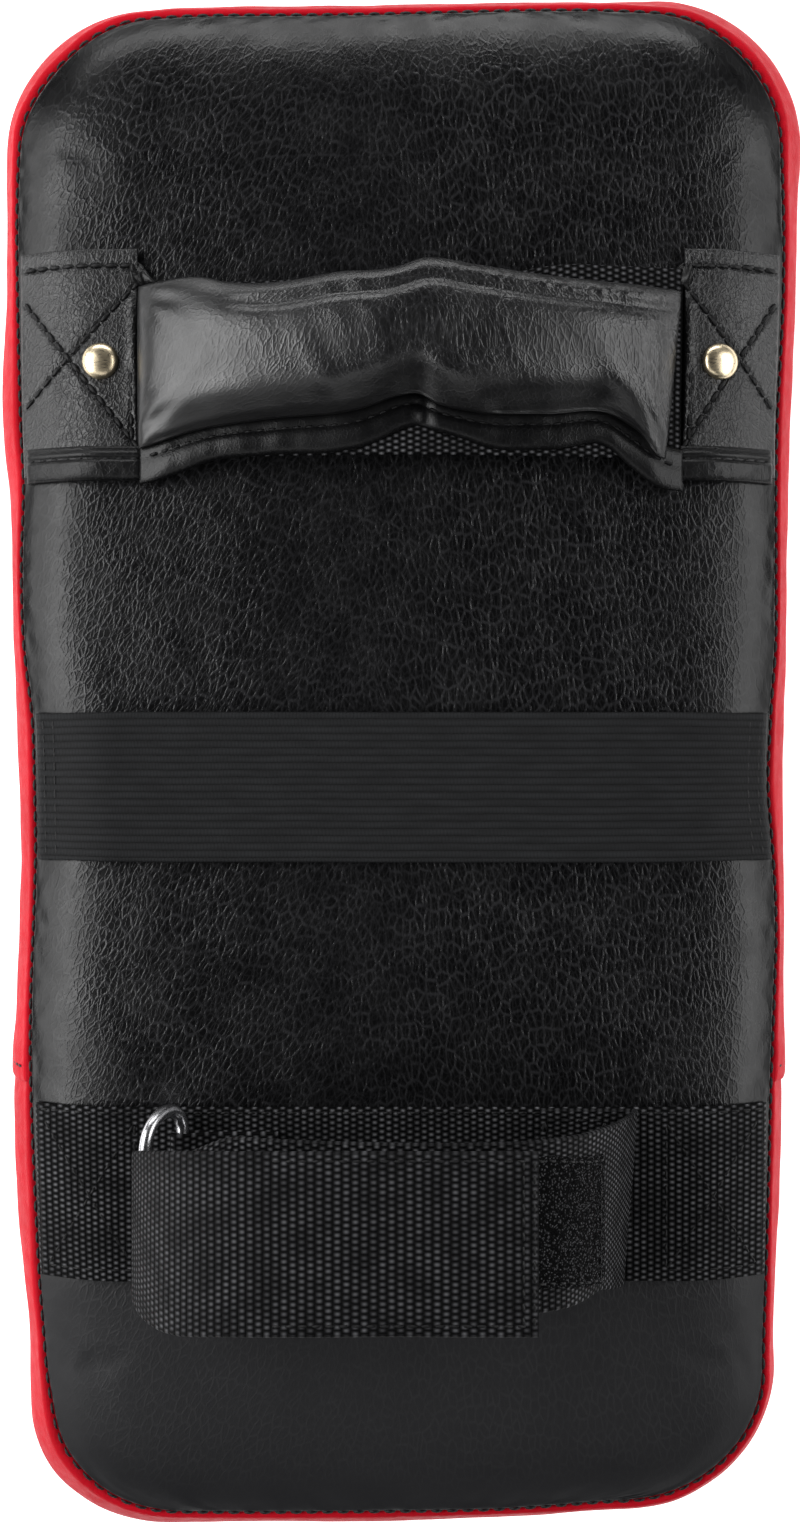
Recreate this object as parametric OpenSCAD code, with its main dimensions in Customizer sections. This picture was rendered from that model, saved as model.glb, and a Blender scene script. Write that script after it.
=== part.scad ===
// Thai pad (kick pad): a padded block with a riveted leather grip, an elastic
// band and a hook-and-loop arm strap on its back. It lies on its striking face
// with the straps up. X runs across the pad, Y along it towards the grip.

/* [Pad] */
// Length of the seam line round the back panel
seam_len = 383; // [370:1:400]
// Width of the seam line at the top corners
seam_w_top = 197; // [190:1:206]
// Width of the seam line at the bottom corners
seam_w_bottom = 186; // [180:1:194]
// Thickness from the striking face to the back panel
pad_t = 76; // [70:1:90]
// Corner radius of the seam line at the top
corner_top = 31; // [27:1:40]
// Corner radius of the seam line at the bottom
corner_bottom = 35; // [27:1:45]
// How far the gusset swells past the seam line on the long sides
side_bulge = 6.5; // [3:0.5:8]
// How far the gusset swells past the seam line at the two ends
end_bulge = 9; // [3:0.5:12]
// Width of the rolled edge round each face
edge_roll = 22; // [18:1:24]
// Height that the rolled edge loses on its way to the seam
edge_drop = 8; // [5:0.5:10]
// Thickness of the leather skins
leather_t = 1.5; // [1:0.1:2]
// Where the two gusset strips join, along Y
gusset_joint_y = -80; // [-84:1:-50]

/* [Grip] */
// Middle of the grip, along Y
grip_y = 101; // [95:1:108]
// Middle of the grip, along X
grip_x = 2.8; // [-4:0.2:4]
// Half the free span of the grip between its sewn end patches
grip_half_span = 69; // [62:1:70]
// Length of an end patch along Y
patch_w = 57; // [50:1:60]
// Clear height under the middle of the grip
grip_gap = 8; // [6:0.5:14]
// Half the width of the padded roll
roll_half_w = 19.4; // [16:0.2:21]
// Thickness of the padded roll at its middle
roll_t = 13; // [10:0.5:16]
// Diameter of a rivet cap
rivet_cap_d = 8.8; // [7:0.2:11]

/* [Elastic] */
// Width of the elastic band
elastic_w = 38; // [30:1:45]
// Middle of the elastic band, along Y
elastic_y = -6.3; // [-12:0.1:4]
// Thickness of the elastic band
elastic_t = 1.4; // [1:0.1:2]

/* [Arm strap] */
// Width of the webbing
webbing_w = 44; // [40:1:46]
// Thickness of the webbing
webbing_t = 1.6; // [1.2:0.1:1.8]
// Middle of the arm strap, along Y
strap_y = -109; // [-112:1:-108]
// Height of the strap's crest over the back panel
crest_h = 51.5; // [44:0.5:60]
// Diameter of the ring's wire
ring_wire_d = 3.2; // [2.6:0.2:4]
// Centre distance between the ring's two bars
ring_depth = 14.4; // [13:0.2:16]
// Lean of the ring away from upright, in degrees
ring_lean = 33; // [28:1:36]

/* [Hidden] */

// Colours
black_leather = "#1c1c1e";
black_webbing = "#141415";
black_thread = "#08080a";
red_leather = "#dc2339";
foam_grey = "#5b5f66";
brass = "#c79a4b";
steel = "#c9ccd0";

// Clearances and small sizes
gap = 0.2;            // between neighbouring layers of one body
lift = 0.3;           // a sewn strip stands this far off the panel under it
body_gap = 0.7;       // between the ends of pieces on different bodies
fit_gap = 0.08;       // radial running clearance of the ring in its keeper
thread_w = 0.8;
thread_t = 0.45;
crown_steps = 6;
corner_steps = 8;
side_steps = 8;
long_side_steps = 6;

// ---------------------------------------------------------------- lofting
// Every ring of a loft has the same even number of points. Seen along the way
// the loft runs, a ring's points go round counter-clockwise. An end is closed
// like a ladder, each rung joining two points that face each other.
function reversed(list) = [for (i = [len(list) - 1:-1:0]) list[i]];

module loft(rings, closed = false) {
    m = len(rings);
    n = len(rings[0]);
    spans = closed ? m : m - 1;
    sides = [
        for (r = [0:spans - 1], p = [0:n - 1])
        let (q = (p + 1) % n, s = (r + 1) % m)
        each [[r * n + p, r * n + q, s * n + q], [r * n + p, s * n + q, s * n + p]]
    ];
    rungs = [0:n / 2 - 2];
    start_cap = [for (k = rungs) [n - 1 - k, n - 2 - k, k + 1, k]];
    end_cap = [for (k = rungs) [for (p = [k, k + 1, n - 2 - k, n - 1 - k]) (m - 1) * n + p]];
    polyhedron([for (ring = rings) each ring], closed ? sides : concat(start_cap, sides, end_cap));
}

// ---------------------------------------------------------------- seam line
// A station is [point, outward normal]. The long sides are the tangents
// between the top and the bottom corner arcs.
top_centre = [seam_w_top / 2 - corner_top, seam_len / 2 - corner_top];
bottom_centre = [seam_w_bottom / 2 - corner_bottom, corner_bottom - seam_len / 2];
side_run = top_centre - bottom_centre;
side_tilt = atan2(side_run[1], side_run[0]) - acos((corner_bottom - corner_top) / norm(side_run));
side_normal = [cos(side_tilt), sin(side_tilt)];

function flip_x(v) = [-v[0], v[1]];
function direction(a) = [cos(a), sin(a)];
function corner(centre, r, from, to) = [
    for (i = [0:corner_steps])
    let (n = direction(from + (to - from) * i / corner_steps))
    [centre + r * n, n]
];
// Half the seam line's width at a place along Y
function seam_x(y) = (top_centre * side_normal + corner_top - y * side_normal[1]) / side_normal[0];
function right_station(y) = [[seam_x(y), y], side_normal];
function left_station(y) = [[-seam_x(y), y], flip_x(side_normal)];

top_corners = concat(
    corner(top_centre, corner_top, side_tilt, 90),
    corner(flip_x(top_centre), corner_top, 90, 180 - side_tilt)
);
bottom_corners = concat(
    corner(flip_x(bottom_centre), corner_bottom, 180 - side_tilt, 270),
    corner(bottom_centre, corner_bottom, 270, 360 + side_tilt)
);
outline = concat(top_corners, bottom_corners);

// A section point is [share of the bulge, further offset, height].
function bulge(normal) = side_bulge + (end_bulge - side_bulge) * pow(normal[1], 2);
function place(station, s) =
    let (p = station[0] + station[1] * (s[0] * bulge(station[1]) + s[1]))
    [p[0], p[1], s[2]];

// A closed body whose levels are listed from the bottom up
module slab(levels) loft([for (s = levels) [for (station = reversed(outline)) place(station, s)]]);
// A section carried along a run of stations
module band(run, section, closed = false)
    loft([for (station = run) [for (s = section) place(station, s)]], closed);

// ---------------------------------------------------------------- faces and sides
function crown_drop(inset) = edge_drop * (1 - sin(90 * inset / edge_roll));
crown_insets = [for (i = [0:crown_steps]) edge_roll * i / crown_steps];
crown_table = [for (i = crown_insets) [i, crown_drop(i)]];

front_edge_z = edge_drop + leather_t + gap;
back_edge_z = pad_t - front_edge_z;
mid_z = pad_t / 2;
function swell(z) = 1 - pow((z - mid_z) / (mid_z - front_edge_z), 2);
function heights(from, to) = [for (i = [0:side_steps]) from + (to - from) * i / side_steps];

// Height of the back panel's outer face over a point of the plane
function back_z(x, y) = pad_t - lookup((seam_x(y) - abs(x)) * side_normal[0], crown_table);

// ---------------------------------------------------------------- draped strips
// A strip across the pad that follows the rolled edges of the back panel
function crown_xs(y) = [for (i = crown_insets) seam_x(y) - i / side_normal[0]];
function drape_xs(x_lo, x_hi, y) = concat(
    [x_lo],
    [for (x = crown_xs(y)) if (-x > x_lo && -x < x_hi) -x],
    [for (x = reversed(crown_xs(y))) if (x > x_lo && x < x_hi) x],
    [x_hi]
);

module along_y(y_mid, width) translate([0, y_mid + width / 2, 0]) rotate([90, 0, 0]) linear_extrude(width) children();

module draped(x_lo, x_hi, y_mid, width, low, high) {
    xs = drape_xs(x_lo, x_hi, y_mid);
    along_y(y_mid, width)
        polygon(concat(
            [for (x = xs) [x, back_z(x, y_mid) + low]],
            [for (x = reversed(xs)) [x, back_z(x, y_mid) + high]]
        ));
}

// The part of a strip that lies over a flat outline
module within() {
    intersection() {
        children(0);
        translate([0, 0, pad_t - 2 * edge_drop]) linear_extrude(120) children(1);
    }
}

// Sewn lines, drawn in plan
module seam(p, q) {
    run = q - p;
    translate(p) rotate(atan2(run[1], run[0])) translate([0, -thread_w / 2]) square([norm(run), thread_w]);
}

module box_seam(lo, hi) {
    seam(lo, [hi[0], lo[1]]);
    seam([hi[0], lo[1]], hi);
    seam(hi, [lo[0], hi[1]]);
    seam([lo[0], hi[1]], lo);
}

module cross_seam(lo, hi) {
    seam(lo, hi);
    seam([lo[0], hi[1]], [hi[0], lo[1]]);
}

module cross_box_seam(lo, hi) {
    box_seam(lo, hi);
    cross_seam(lo, hi);
}

// ---------------------------------------------------------------- pad shell
function front_skin(z_off) = [for (c = crown_table) [0, -c[0], c[1] + z_off]];
function back_skin(z_off) = [for (c = crown_table) [0, -c[0], pad_t - c[1] - z_off]];

module striking_panel() {
    color(red_leather) slab(concat(reversed(front_skin(0)), front_skin(leather_t)));
}

module back_panel() {
    color(black_leather) slab(concat(reversed(back_skin(leather_t)), back_skin(0)));
}

gusset_section = concat(
    [for (z = heights(front_edge_z, back_edge_z)) [swell(z), 0, z]],
    [for (z = heights(back_edge_z, front_edge_z)) [swell(z), -leather_t, z]]
);

module gusset_upper() {
    y = gusset_joint_y + gap / 2;
    run = [for (i = [0:long_side_steps - 1]) y + (top_centre[1] - y) * i / long_side_steps];
    color(red_leather)
        band(
            concat(
                [for (y = run) right_station(y)], top_corners, [for (y = reversed(run)) left_station(y)]
            ),
            gusset_section
        );
}

module gusset_lower() {
    y = gusset_joint_y - gap / 2;
    color(red_leather) band(concat([left_station(y)], bottom_corners, [right_station(y)]), gusset_section);
}

// ---------------------------------------------------------------- foam
foam_gap = leather_t + gap;
foam_edge = edge_roll / crown_steps;
strike_top = 24;
core_top = 53;
function foam_side(from, to) = [for (z = heights(from, to)) [swell(z), -foam_gap, z]];
function inner_skin(levels) = [for (s = levels) if (-s[1] >= foam_edge) s];

module foam_strike_layer() {
    color(foam_grey)
        slab(concat(reversed(inner_skin(front_skin(foam_gap))), foam_side(front_edge_z + 1, strike_top)));
}

module foam_core_layer() {
    color(foam_grey) slab(foam_side(strike_top + gap, core_top));
}

module foam_back_layer() {
    color(foam_grey)
        slab(concat(foam_side(core_top + gap, back_edge_z - 1), inner_skin(back_skin(foam_gap))));
}

// ---------------------------------------------------------------- seam threads
function edge_thread(z) = [
    [0, gap + thread_w, z], [0, gap + thread_w, z + thread_w], [0, gap, z + thread_w], [0, gap, z]
];

module front_seam_thread() {
    color(black_thread) band(outline, edge_thread(edge_drop + gap), true);
}

module back_seam_thread() {
    color(black_thread) band(outline, edge_thread(pad_t - edge_drop - gap - thread_w), true);
}

joint_section = concat(
    [for (z = heights(front_edge_z, back_edge_z)) [swell(z), gap / 4 + thread_t, z]],
    [for (z = heights(back_edge_z, front_edge_z)) [swell(z), gap / 4, z]]
);

// One line of thread up each end of the upper gusset strip
module gusset_joint_stitching() {
    y = gusset_joint_y + 3;
    profile = [for (s = joint_section) place(right_station(y), s)];
    color(black_thread)
        for (side = [-1, 1])
            along_y(y, thread_w) polygon([for (p = profile) [side * p[0], p[2]]]);
}

// ---------------------------------------------------------------- end patches of the grip
patch_top = lift + leather_t;
patch_overhang = 2.5;          // the patches stop this far inside the seam line
patch_edge_y = grip_y - patch_w / 2;
binding_w = 8.5;
left_fold_x = grip_x - grip_half_span;
right_fold_x = grip_x + grip_half_span;
patch_outer_x = seam_x(grip_y + patch_w / 2) - patch_overhang;
rivet_inset = 9.6;             // from a patch's fold to its rivet
rivet_xs = [left_fold_x - rivet_inset, right_fold_x + rivet_inset];
rivet_post_r = 1.6;

module rivet_holes() {
    for (x = rivet_xs) translate([x, grip_y, 0]) cylinder(h = 2 * pad_t, r = rivet_post_r + fit_gap, $fn = 48);
}

module handle_patch(x_lo, x_hi) {
    difference() {
        draped(x_lo, x_hi, grip_y, patch_w, lift, patch_top);
        rivet_holes();
    }
}

module handle_patch_left() {
    color(black_leather) handle_patch(-patch_outer_x, left_fold_x);
}

module handle_patch_right() {
    color(black_leather) handle_patch(right_fold_x, patch_outer_x);
}

// Folded strips over the lower edges of the two patches
module patch_bindings() {
    low = patch_top + gap / 4;
    color(black_leather)
        within() {
            union() {
                draped(-patch_outer_x, left_fold_x, grip_y, patch_w, low, patch_top + 1.2);
                draped(right_fold_x, patch_outer_x, grip_y, patch_w, low, patch_top + 1.2);
            }
            translate([-seam_w_top, patch_edge_y]) square([2 * seam_w_top, binding_w]);
        }
}

// A cross on each patch between its top hem and its binding
module patch_stitching() {
    low = patch_top + gap / 4;
    y_lo = patch_edge_y + binding_w + 1;
    y_hi = grip_y + patch_w / 2 - 2;
    color(black_thread)
        within() {
            union() {
                draped(-patch_outer_x, left_fold_x, grip_y, patch_w, low, low + thread_t);
                draped(right_fold_x, patch_outer_x, grip_y, patch_w, low, low + thread_t);
            }
            difference() {
                union() {
                    cross_box_seam([1 - patch_outer_x, y_lo], [left_fold_x - 1.5, y_hi]);
                    cross_box_seam([right_fold_x + 1.5, y_lo], [patch_outer_x - 1, y_hi]);
                }
                for (x = rivet_xs) translate([x, grip_y]) circle(d = rivet_cap_d + 1, $fn = 48);
            }
        }
}

// ---------------------------------------------------------------- rivets
cap_r = rivet_cap_d / 2;
rivet_seat_z = pad_t + patch_top;
washer_t = 1;
washer_z = pad_t - leather_t - 2 - washer_t;   // clear of the rolled edge of the panel

module at_rivets(z) {
    for (x = rivet_xs) translate([x, grip_y, z]) children();
}

// Flat-topped caps with a bevelled rim
module rivet_caps() {
    color(brass) at_rivets(rivet_seat_z + gap / 4)
        rotate_extrude($fn = 64)
            polygon([[0, 0], [cap_r, 0], [cap_r, 0.6], [cap_r - 1, 1.7], [cap_r - 1.6, 1.9], [0, 1.9]]);
}

module rivet_posts() {
    color(brass) at_rivets(washer_z) cylinder(h = rivet_seat_z - washer_z, r = rivet_post_r, $fn = 48);
}

module rivet_washers() {
    color(brass) at_rivets(washer_z - gap / 4)
        difference() {
            cylinder(h = washer_t, r = cap_r, $fn = 64);
            translate([0, 0, -1]) cylinder(h = washer_t + 2, r = rivet_post_r + fit_gap, $fn = 48);
        }
}

// ---------------------------------------------------------------- grip
grip_half = grip_half_span - body_gap;
grip_steps = 16;
roll_sides = 20;
cover_t = 1.2;
grip_web_t = 1.4;
grip_web_w = 50;
end_rise = 0.5;               // height of the grip over the panel at its two ends
roll_y = grip_y + 1;

function grip_u(x) = abs(x - grip_x) / grip_half;
function grip_under(x) = pad_t + end_rise + grip_gap * (1 - pow(grip_u(x), 2.2));
function fullness(x) = 1 - pow(grip_u(x), 4);
grip_xs = [for (i = [0:grip_steps]) grip_x - grip_half * cos(180 * i / grip_steps)];

// The padded roll: half its width and half its thickness, less a wall on each side
function roll_ring(x, wall) =
    let (
        half_w = roll_half_w - 3 * (1 - fullness(x)) - wall,
        half_t = 2.4 + (roll_t / 2 - 2.4) * fullness(x) - wall,
        z = grip_under(x) + grip_web_t + gap + half_t + wall
    )
    [for (k = [0:roll_sides - 1])
        let (a = -360 * k / roll_sides)
        [x, roll_y + half_w * cos(a), z + half_t * sin(a)]];

module grip_cover() {
    outer = [for (x = grip_xs) roll_ring(x, 0)];
    inner = [for (x = reversed(grip_xs)) roll_ring(x, cover_t)];
    color(black_leather) loft(concat(outer, inner), true);
}

module grip_core() {
    color(foam_grey) loft([for (x = grip_xs) roll_ring(x, cover_t + gap / 2)]);
}

// A strip that follows the underside of the grip
module grip_strip(y_mid, width, low, high) {
    along_y(y_mid, width)
        polygon(concat(
            [for (x = grip_xs) [x, grip_under(x) + low]],
            [for (x = reversed(grip_xs)) [x, grip_under(x) + high]]
        ));
}

module grip_webbing() {
    color(black_webbing) grip_strip(grip_y, grip_web_w, 0, grip_web_t);
}

// The bound edge under the roll waves up towards the middle of the span.
flange_w = 5.5;
flange_low = patch_edge_y + 1;
flange_rise = 5;
function flange_y(x) = flange_low + flange_rise * (1 - pow(grip_u(x), 2));

module flange_plan(low, high) {
    polygon(concat(
        [for (x = grip_xs) [x, flange_y(x) + low]],
        [for (x = reversed(grip_xs)) [x, flange_y(x) + high]]
    ));
}

module grip_binding() {
    color(black_leather)
        within() {
            grip_strip(grip_y, patch_w, grip_web_t + gap, grip_web_t + gap + 1.8);
            flange_plan(0, flange_w);
        }
}

module grip_stitching() {
    low = grip_web_t + gap + 1.8 + gap / 4;
    color(black_thread)
        within() {
            grip_strip(grip_y, patch_w, low, low + thread_t);
            flange_plan(flange_w - 2, flange_w - 2 + thread_w);
        }
}

// ---------------------------------------------------------------- elastic band
elastic_outer_x = seam_x(elastic_y + elastic_w / 2) - 1.5;
elastic_free_x = 80;
elastic_top = lift + elastic_t;

module elastic_band() {
    color(black_webbing) draped(-elastic_free_x, elastic_free_x, elastic_y, elastic_w, lift, elastic_top);
}

module elastic_end_left() {
    color(black_webbing)
        draped(-elastic_outer_x, -elastic_free_x - body_gap, elastic_y, elastic_w, lift, elastic_top);
}

module elastic_end_right() {
    color(black_webbing)
        draped(elastic_free_x + body_gap, elastic_outer_x, elastic_y, elastic_w, lift, elastic_top);
}

module elastic_stitching() {
    low = elastic_top + gap / 4;
    half = elastic_w / 2 - 1;
    color(black_thread)
        within() {
            draped(-elastic_outer_x, elastic_outer_x, elastic_y, elastic_w, low, low + thread_t);
            for (side = [-1, 1], inset = [3, 6]) {
                x = side * (elastic_outer_x - inset);
                seam([x, elastic_y - half], [x, elastic_y + half]);
            }
        }
}

// ---------------------------------------------------------------- base webbing
base_outer_x = seam_x(strap_y + webbing_w / 2) - 1.5;
base_top = lift + webbing_t;
base_top_z = pad_t + base_top;

module base_webbing() {
    color(black_webbing) draped(-base_outer_x, base_outer_x, strap_y, webbing_w, lift, base_top);
}

module base_stitching() {
    low = base_top + gap / 4;
    half = webbing_w / 2 - 2;
    inner_x = 66;
    color(black_thread)
        within() {
            draped(-base_outer_x, base_outer_x, strap_y, webbing_w, low, low + thread_t);
            union() {
                cross_box_seam([inner_x, strap_y - half], [base_outer_x - 2, strap_y + half]);
                cross_box_seam([2 - base_outer_x, strap_y - half], [-inner_x, strap_y + half]);
            }
        }
}

// ---------------------------------------------------------------- ring and keeper
wire_r = ring_wire_d / 2;
keeper_t = 1.4;
keeper_bore_r = wire_r + fit_gap;
keeper_outer_r = keeper_bore_r + keeper_t;
keeper_bar = [-54.5, base_top_z + gap / 2 + keeper_outer_r];   // [x, z] of the ring's lower bar
strap_bar = keeper_bar + ring_depth * direction(90 + ring_lean);
ring_y = strap_y - 1.5;
ring_corner_r = 5.4;          // bends next to the keeper
ring_half_len = 24;           // from the ring's middle to the wire of its ends
ring_bend_r = ring_depth - ring_corner_r;
ring_half_straight = ring_half_len - ring_bend_r;
keeper_w = 2 * (ring_half_len - ring_corner_r) - 0.8;
keeper_len = 24;
keeper_flat_z = base_top_z + gap / 2 + 2 * keeper_t;
fold_w = 2 * ring_half_straight - 0.8;

// A loop of round wire standing on its lower bar. Its bends are tight next to
// the keeper and wide next to the strap.
module ring_bend(centre, r, from) {
    translate([centre[0], centre[1], 0]) rotate([0, 0, from])
        rotate_extrude(angle = 90, $fn = 64) translate([r, 0]) circle(r = wire_r, $fn = 48);
}

module ring_bar(x, half) {
    translate([x, 0, 0]) rotate([90, 0, 0]) cylinder(h = 2 * half, r = wire_r, center = true, $fn = 48);
}

module oval_ring() {
    low = ring_half_len - ring_corner_r;
    color(steel)
        translate([keeper_bar[0], ring_y, keeper_bar[1]]) rotate([0, -90 - ring_lean, 0]) {
            ring_bar(0, low);
            ring_bar(ring_depth, ring_half_straight);
            ring_bend([ring_corner_r, ring_half_straight], ring_bend_r, 0);
            ring_bend([ring_corner_r, low], ring_corner_r, 90);
            ring_bend([ring_corner_r, -low], ring_corner_r, 180);
            ring_bend([ring_corner_r, -ring_half_straight], ring_bend_r, 270);
        }
}

// A webbing tab folded round the lower bar and sewn down towards the middle
module ring_keeper() {
    x = keeper_bar[0];
    z = keeper_bar[1];
    color(black_webbing)
        along_y(ring_y, keeper_w)
            difference() {
                union() {
                    translate(keeper_bar) circle(r = keeper_outer_r, $fn = 64);
                    polygon([
                        [x, z - keeper_outer_r], [x + keeper_len, z - keeper_outer_r],
                        [x + keeper_len, keeper_flat_z], [x + 8, keeper_flat_z], [x, z + keeper_outer_r]
                    ]);
                }
                translate(keeper_bar) circle(r = keeper_bore_r, $fn = 64);
            }
}

module keeper_stitching() {
    x = keeper_bar[0];
    half = keeper_w / 2 - 2;
    color(black_thread)
        translate([0, 0, keeper_flat_z + gap / 4]) linear_extrude(thread_t)
            cross_box_seam([x + 10, ring_y - half], [x + keeper_len - 2, ring_y + half]);
}

// ---------------------------------------------------------------- arm strap
// Stations of the strap in the XZ plane are [point, normal towards the outside].
function bezier(p, t) =
    pow(1 - t, 3) * p[0] + 3 * t * pow(1 - t, 2) * p[1] + 3 * t * t * (1 - t) * p[2] + pow(t, 3) * p[3];
function bezier_run(p, t) =
    pow(1 - t, 2) * (p[1] - p[0]) + 2 * t * (1 - t) * (p[2] - p[1]) + t * t * (p[3] - p[2]);
function outward(run) = [run[1], -run[0]] / norm(run);

foot_z = base_top_z + gap / 2 + webbing_t / 2;
foot_x_lo = 34;
foot_x_hi = 56.5;
fold_r = 1.3;
rise_angle = 108;              // the strap leaves its root in this direction
fall_angle = 72;               // and comes down to the ring in this one
wrap_r = wire_r + 0.1 + webbing_t / 2;
crest = [8, pad_t + crest_h];
root = [foot_x_hi, foot_z + fold_r] + fold_r * direction(rise_angle - 90);
ring_in = strap_bar + wrap_r * direction(fall_angle - 90);
right_flank = [root, root + 24 * direction(rise_angle), crest + [36, 0], crest];
left_flank = [crest, crest - [40, 0], ring_in + 26 * direction(fall_angle), ring_in];
flank_steps = 12;

// Runs from 0 at the root over 1 at the crest to 2 at the ring. Layers that lie
// on each other share their stations, which are counted from the root.
function arch_station(s) =
    s < 1
        ? [bezier(right_flank, s), outward(bezier_run(right_flank, s))]
        : [bezier(left_flank, s - 1), outward(bezier_run(left_flank, s - 1))];
function arch_run(from, to) = [for (i = [from:to]) arch_station(i / flank_steps)];
arch_end = 2 * flank_steps;
function wrap_in(a) = [strap_bar + wrap_r * direction(a), -direction(a)];
function wrap_out(a) = [strap_bar - wrap_r * direction(a), direction(a)];

foot_run = [for (x = [foot_x_lo, foot_x_hi]) [[x, foot_z], [0, -1]]];
fold_run = [
    for (a = [-72:18:rise_angle - 91])
    [[foot_x_hi, foot_z + fold_r] + fold_r * direction(a), direction(a)]
];
strap_run = concat(foot_run, fold_run, arch_run(0, arch_end), [for (a = [-30, -42, -54]) wrap_in(a)]);

module ribbon(run, low, high, y_mid, width) {
    along_y(y_mid, width)
        polygon(concat(
            [for (s = run) s[0] + s[1] * low],
            [for (s = reversed(run)) s[0] + s[1] * high]
        ));
}

// The webbing is full width over the arm and narrows where it enters the ring.
module strap_plan() {
    half = webbing_w / 2;
    narrow = fold_w / 2;
    wide_x = -38;
    narrow_x = -56;
    far_x = 90;
    polygon([
        [far_x, strap_y + half], [wide_x, strap_y + half], [narrow_x, ring_y + narrow],
        [-far_x, ring_y + narrow], [-far_x, ring_y - narrow], [narrow_x, ring_y - narrow],
        [wide_x, strap_y - half], [far_x, strap_y - half]
    ]);
}

module strap_ribbon(run, low, high) {
    within() {
        ribbon(run, low, high, strap_y, 2 * webbing_w);
        strap_plan();
    }
}

module arm_strap() {
    color(black_webbing) strap_ribbon(strap_run, -webbing_t / 2, webbing_t / 2);
}

module root_stitching() {
    half = webbing_w / 2 - 3;
    color(black_thread)
        translate([0, 0, foot_z + webbing_t / 2 + gap / 4]) linear_extrude(thread_t)
            cross_box_seam([foot_x_lo + 2, strap_y - half], [foot_x_hi - 5, strap_y + half]);
}

// ---------------------------------------------------------------- hook and loop
pile_t = 1.2;
pile_w = webbing_w - 13;
loop_run = arch_run(5, 19);
loop_low = webbing_t / 2 + gap / 4;
tail_mid = 2 * wrap_r;         // offset of the tail's middle from the strap's
tail_low = tail_mid - webbing_t / 2;
tail_high = tail_mid + webbing_t / 2;
tail_tip = 9;
hook_end = 16;
tail_run = concat(arch_run(tail_tip, arch_end), [for (a = [fall_angle + 98, fall_angle + 108]) wrap_out(a)]);

module loop_patch() {
    color(black_webbing) ribbon(loop_run, loop_low, loop_low + pile_t, strap_y, pile_w);
}

module loop_patch_stitching() {
    low = loop_low + pile_t + gap / 4;
    half = pile_w / 2 - 1;
    color(black_thread)
        for (side = [-1, 1]) ribbon(loop_run, low, low + thread_t / 2, strap_y + side * half, thread_w);
}

module strap_tail() {
    color(black_webbing) strap_ribbon(tail_run, tail_low, tail_high);
}

module hook_patch() {
    high = tail_low - gap / 4;
    color(black_webbing) ribbon(arch_run(tail_tip + 1, hook_end), high - pile_t, high, strap_y, pile_w);
}

// Two close lines across the tip and one down each edge of the hook patch
module tail_stitching() {
    low = tail_high + gap / 4;
    half = webbing_w / 2 - 3;
    tip_x = arch_station(tail_tip / flank_steps)[0][0];
    color(black_thread)
        within() {
            ribbon(arch_run(tail_tip, hook_end), low, low + thread_t, strap_y, webbing_w);
            union() {
                for (inset = [0, 3]) seam([tip_x - inset, strap_y - half], [tip_x - inset, strap_y + half]);
                for (side = [-1, 1]) seam([-20, strap_y + side * half], [tip_x, strap_y + side * half]);
            }
        }
}

striking_panel();
gusset_upper();
gusset_lower();
back_panel();
foam_strike_layer();
foam_core_layer();
foam_back_layer();
front_seam_thread();
back_seam_thread();
gusset_joint_stitching();
handle_patch_left();
handle_patch_right();
patch_bindings();
patch_stitching();
rivet_caps();
rivet_posts();
rivet_washers();
grip_cover();
grip_core();
grip_webbing();
grip_binding();
grip_stitching();
elastic_band();
elastic_end_left();
elastic_end_right();
elastic_stitching();
base_webbing();
base_stitching();
ring_keeper();
keeper_stitching();
oval_ring();
arm_strap();
root_stitching();
loop_patch();
loop_patch_stitching();
strap_tail();
hook_patch();
tail_stitching();
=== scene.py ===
"""Looks of the thai pad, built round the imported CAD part. Sizes are in millimetres until a mesh is made."""
import math

import bpy
import numpy as np
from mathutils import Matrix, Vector, noise


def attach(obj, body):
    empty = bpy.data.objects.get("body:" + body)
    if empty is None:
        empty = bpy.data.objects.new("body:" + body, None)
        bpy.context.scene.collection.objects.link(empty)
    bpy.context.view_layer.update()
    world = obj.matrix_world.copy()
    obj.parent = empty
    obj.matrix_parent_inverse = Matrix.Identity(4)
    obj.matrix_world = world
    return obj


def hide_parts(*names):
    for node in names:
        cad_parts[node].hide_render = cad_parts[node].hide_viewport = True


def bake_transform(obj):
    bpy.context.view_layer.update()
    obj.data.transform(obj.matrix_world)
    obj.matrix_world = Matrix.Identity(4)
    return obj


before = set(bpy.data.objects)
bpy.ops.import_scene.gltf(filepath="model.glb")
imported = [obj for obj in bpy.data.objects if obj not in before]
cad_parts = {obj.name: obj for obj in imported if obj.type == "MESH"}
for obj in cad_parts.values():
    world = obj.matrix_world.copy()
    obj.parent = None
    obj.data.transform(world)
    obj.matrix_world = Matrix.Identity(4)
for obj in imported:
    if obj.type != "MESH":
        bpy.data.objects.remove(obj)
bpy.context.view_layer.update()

MM = 0.001
scene = bpy.context.scene

# ---------------------------------------------------------------- sizes shared with the CAD part
PAD_T = 76
SEAM_HALF_LEN = 191.5
CORNER_TOP, CORNER_BOTTOM = 31.0, 35.0
TOP_CENTRE = np.array([67.5, 160.5])
BOTTOM_CENTRE = np.array([58.0, -156.5])
EDGE_ROLL, EDGE_DROP = 22.0, 8.0
MID_Z = PAD_T / 2
SEAM_BACK_Z, SEAM_FRONT_Z = 68.0, 8.0
JOINT_Y = -80.0
GRIP_X, GRIP_HALF = 2.8, 69.0
PATCH_Y = (72.5, 129.5)
RIVETS = [(-75.8, 101.0), (81.4, 101.0)]
ELASTIC_Y, ELASTIC_W = -6.3, 38.0
STRAP_Y, WEBBING_W = -109.0, 44.0
WEB_T = 1.6
RING_Y = STRAP_Y - 1.5
UP = np.array([0, 0, 1.0])

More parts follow.
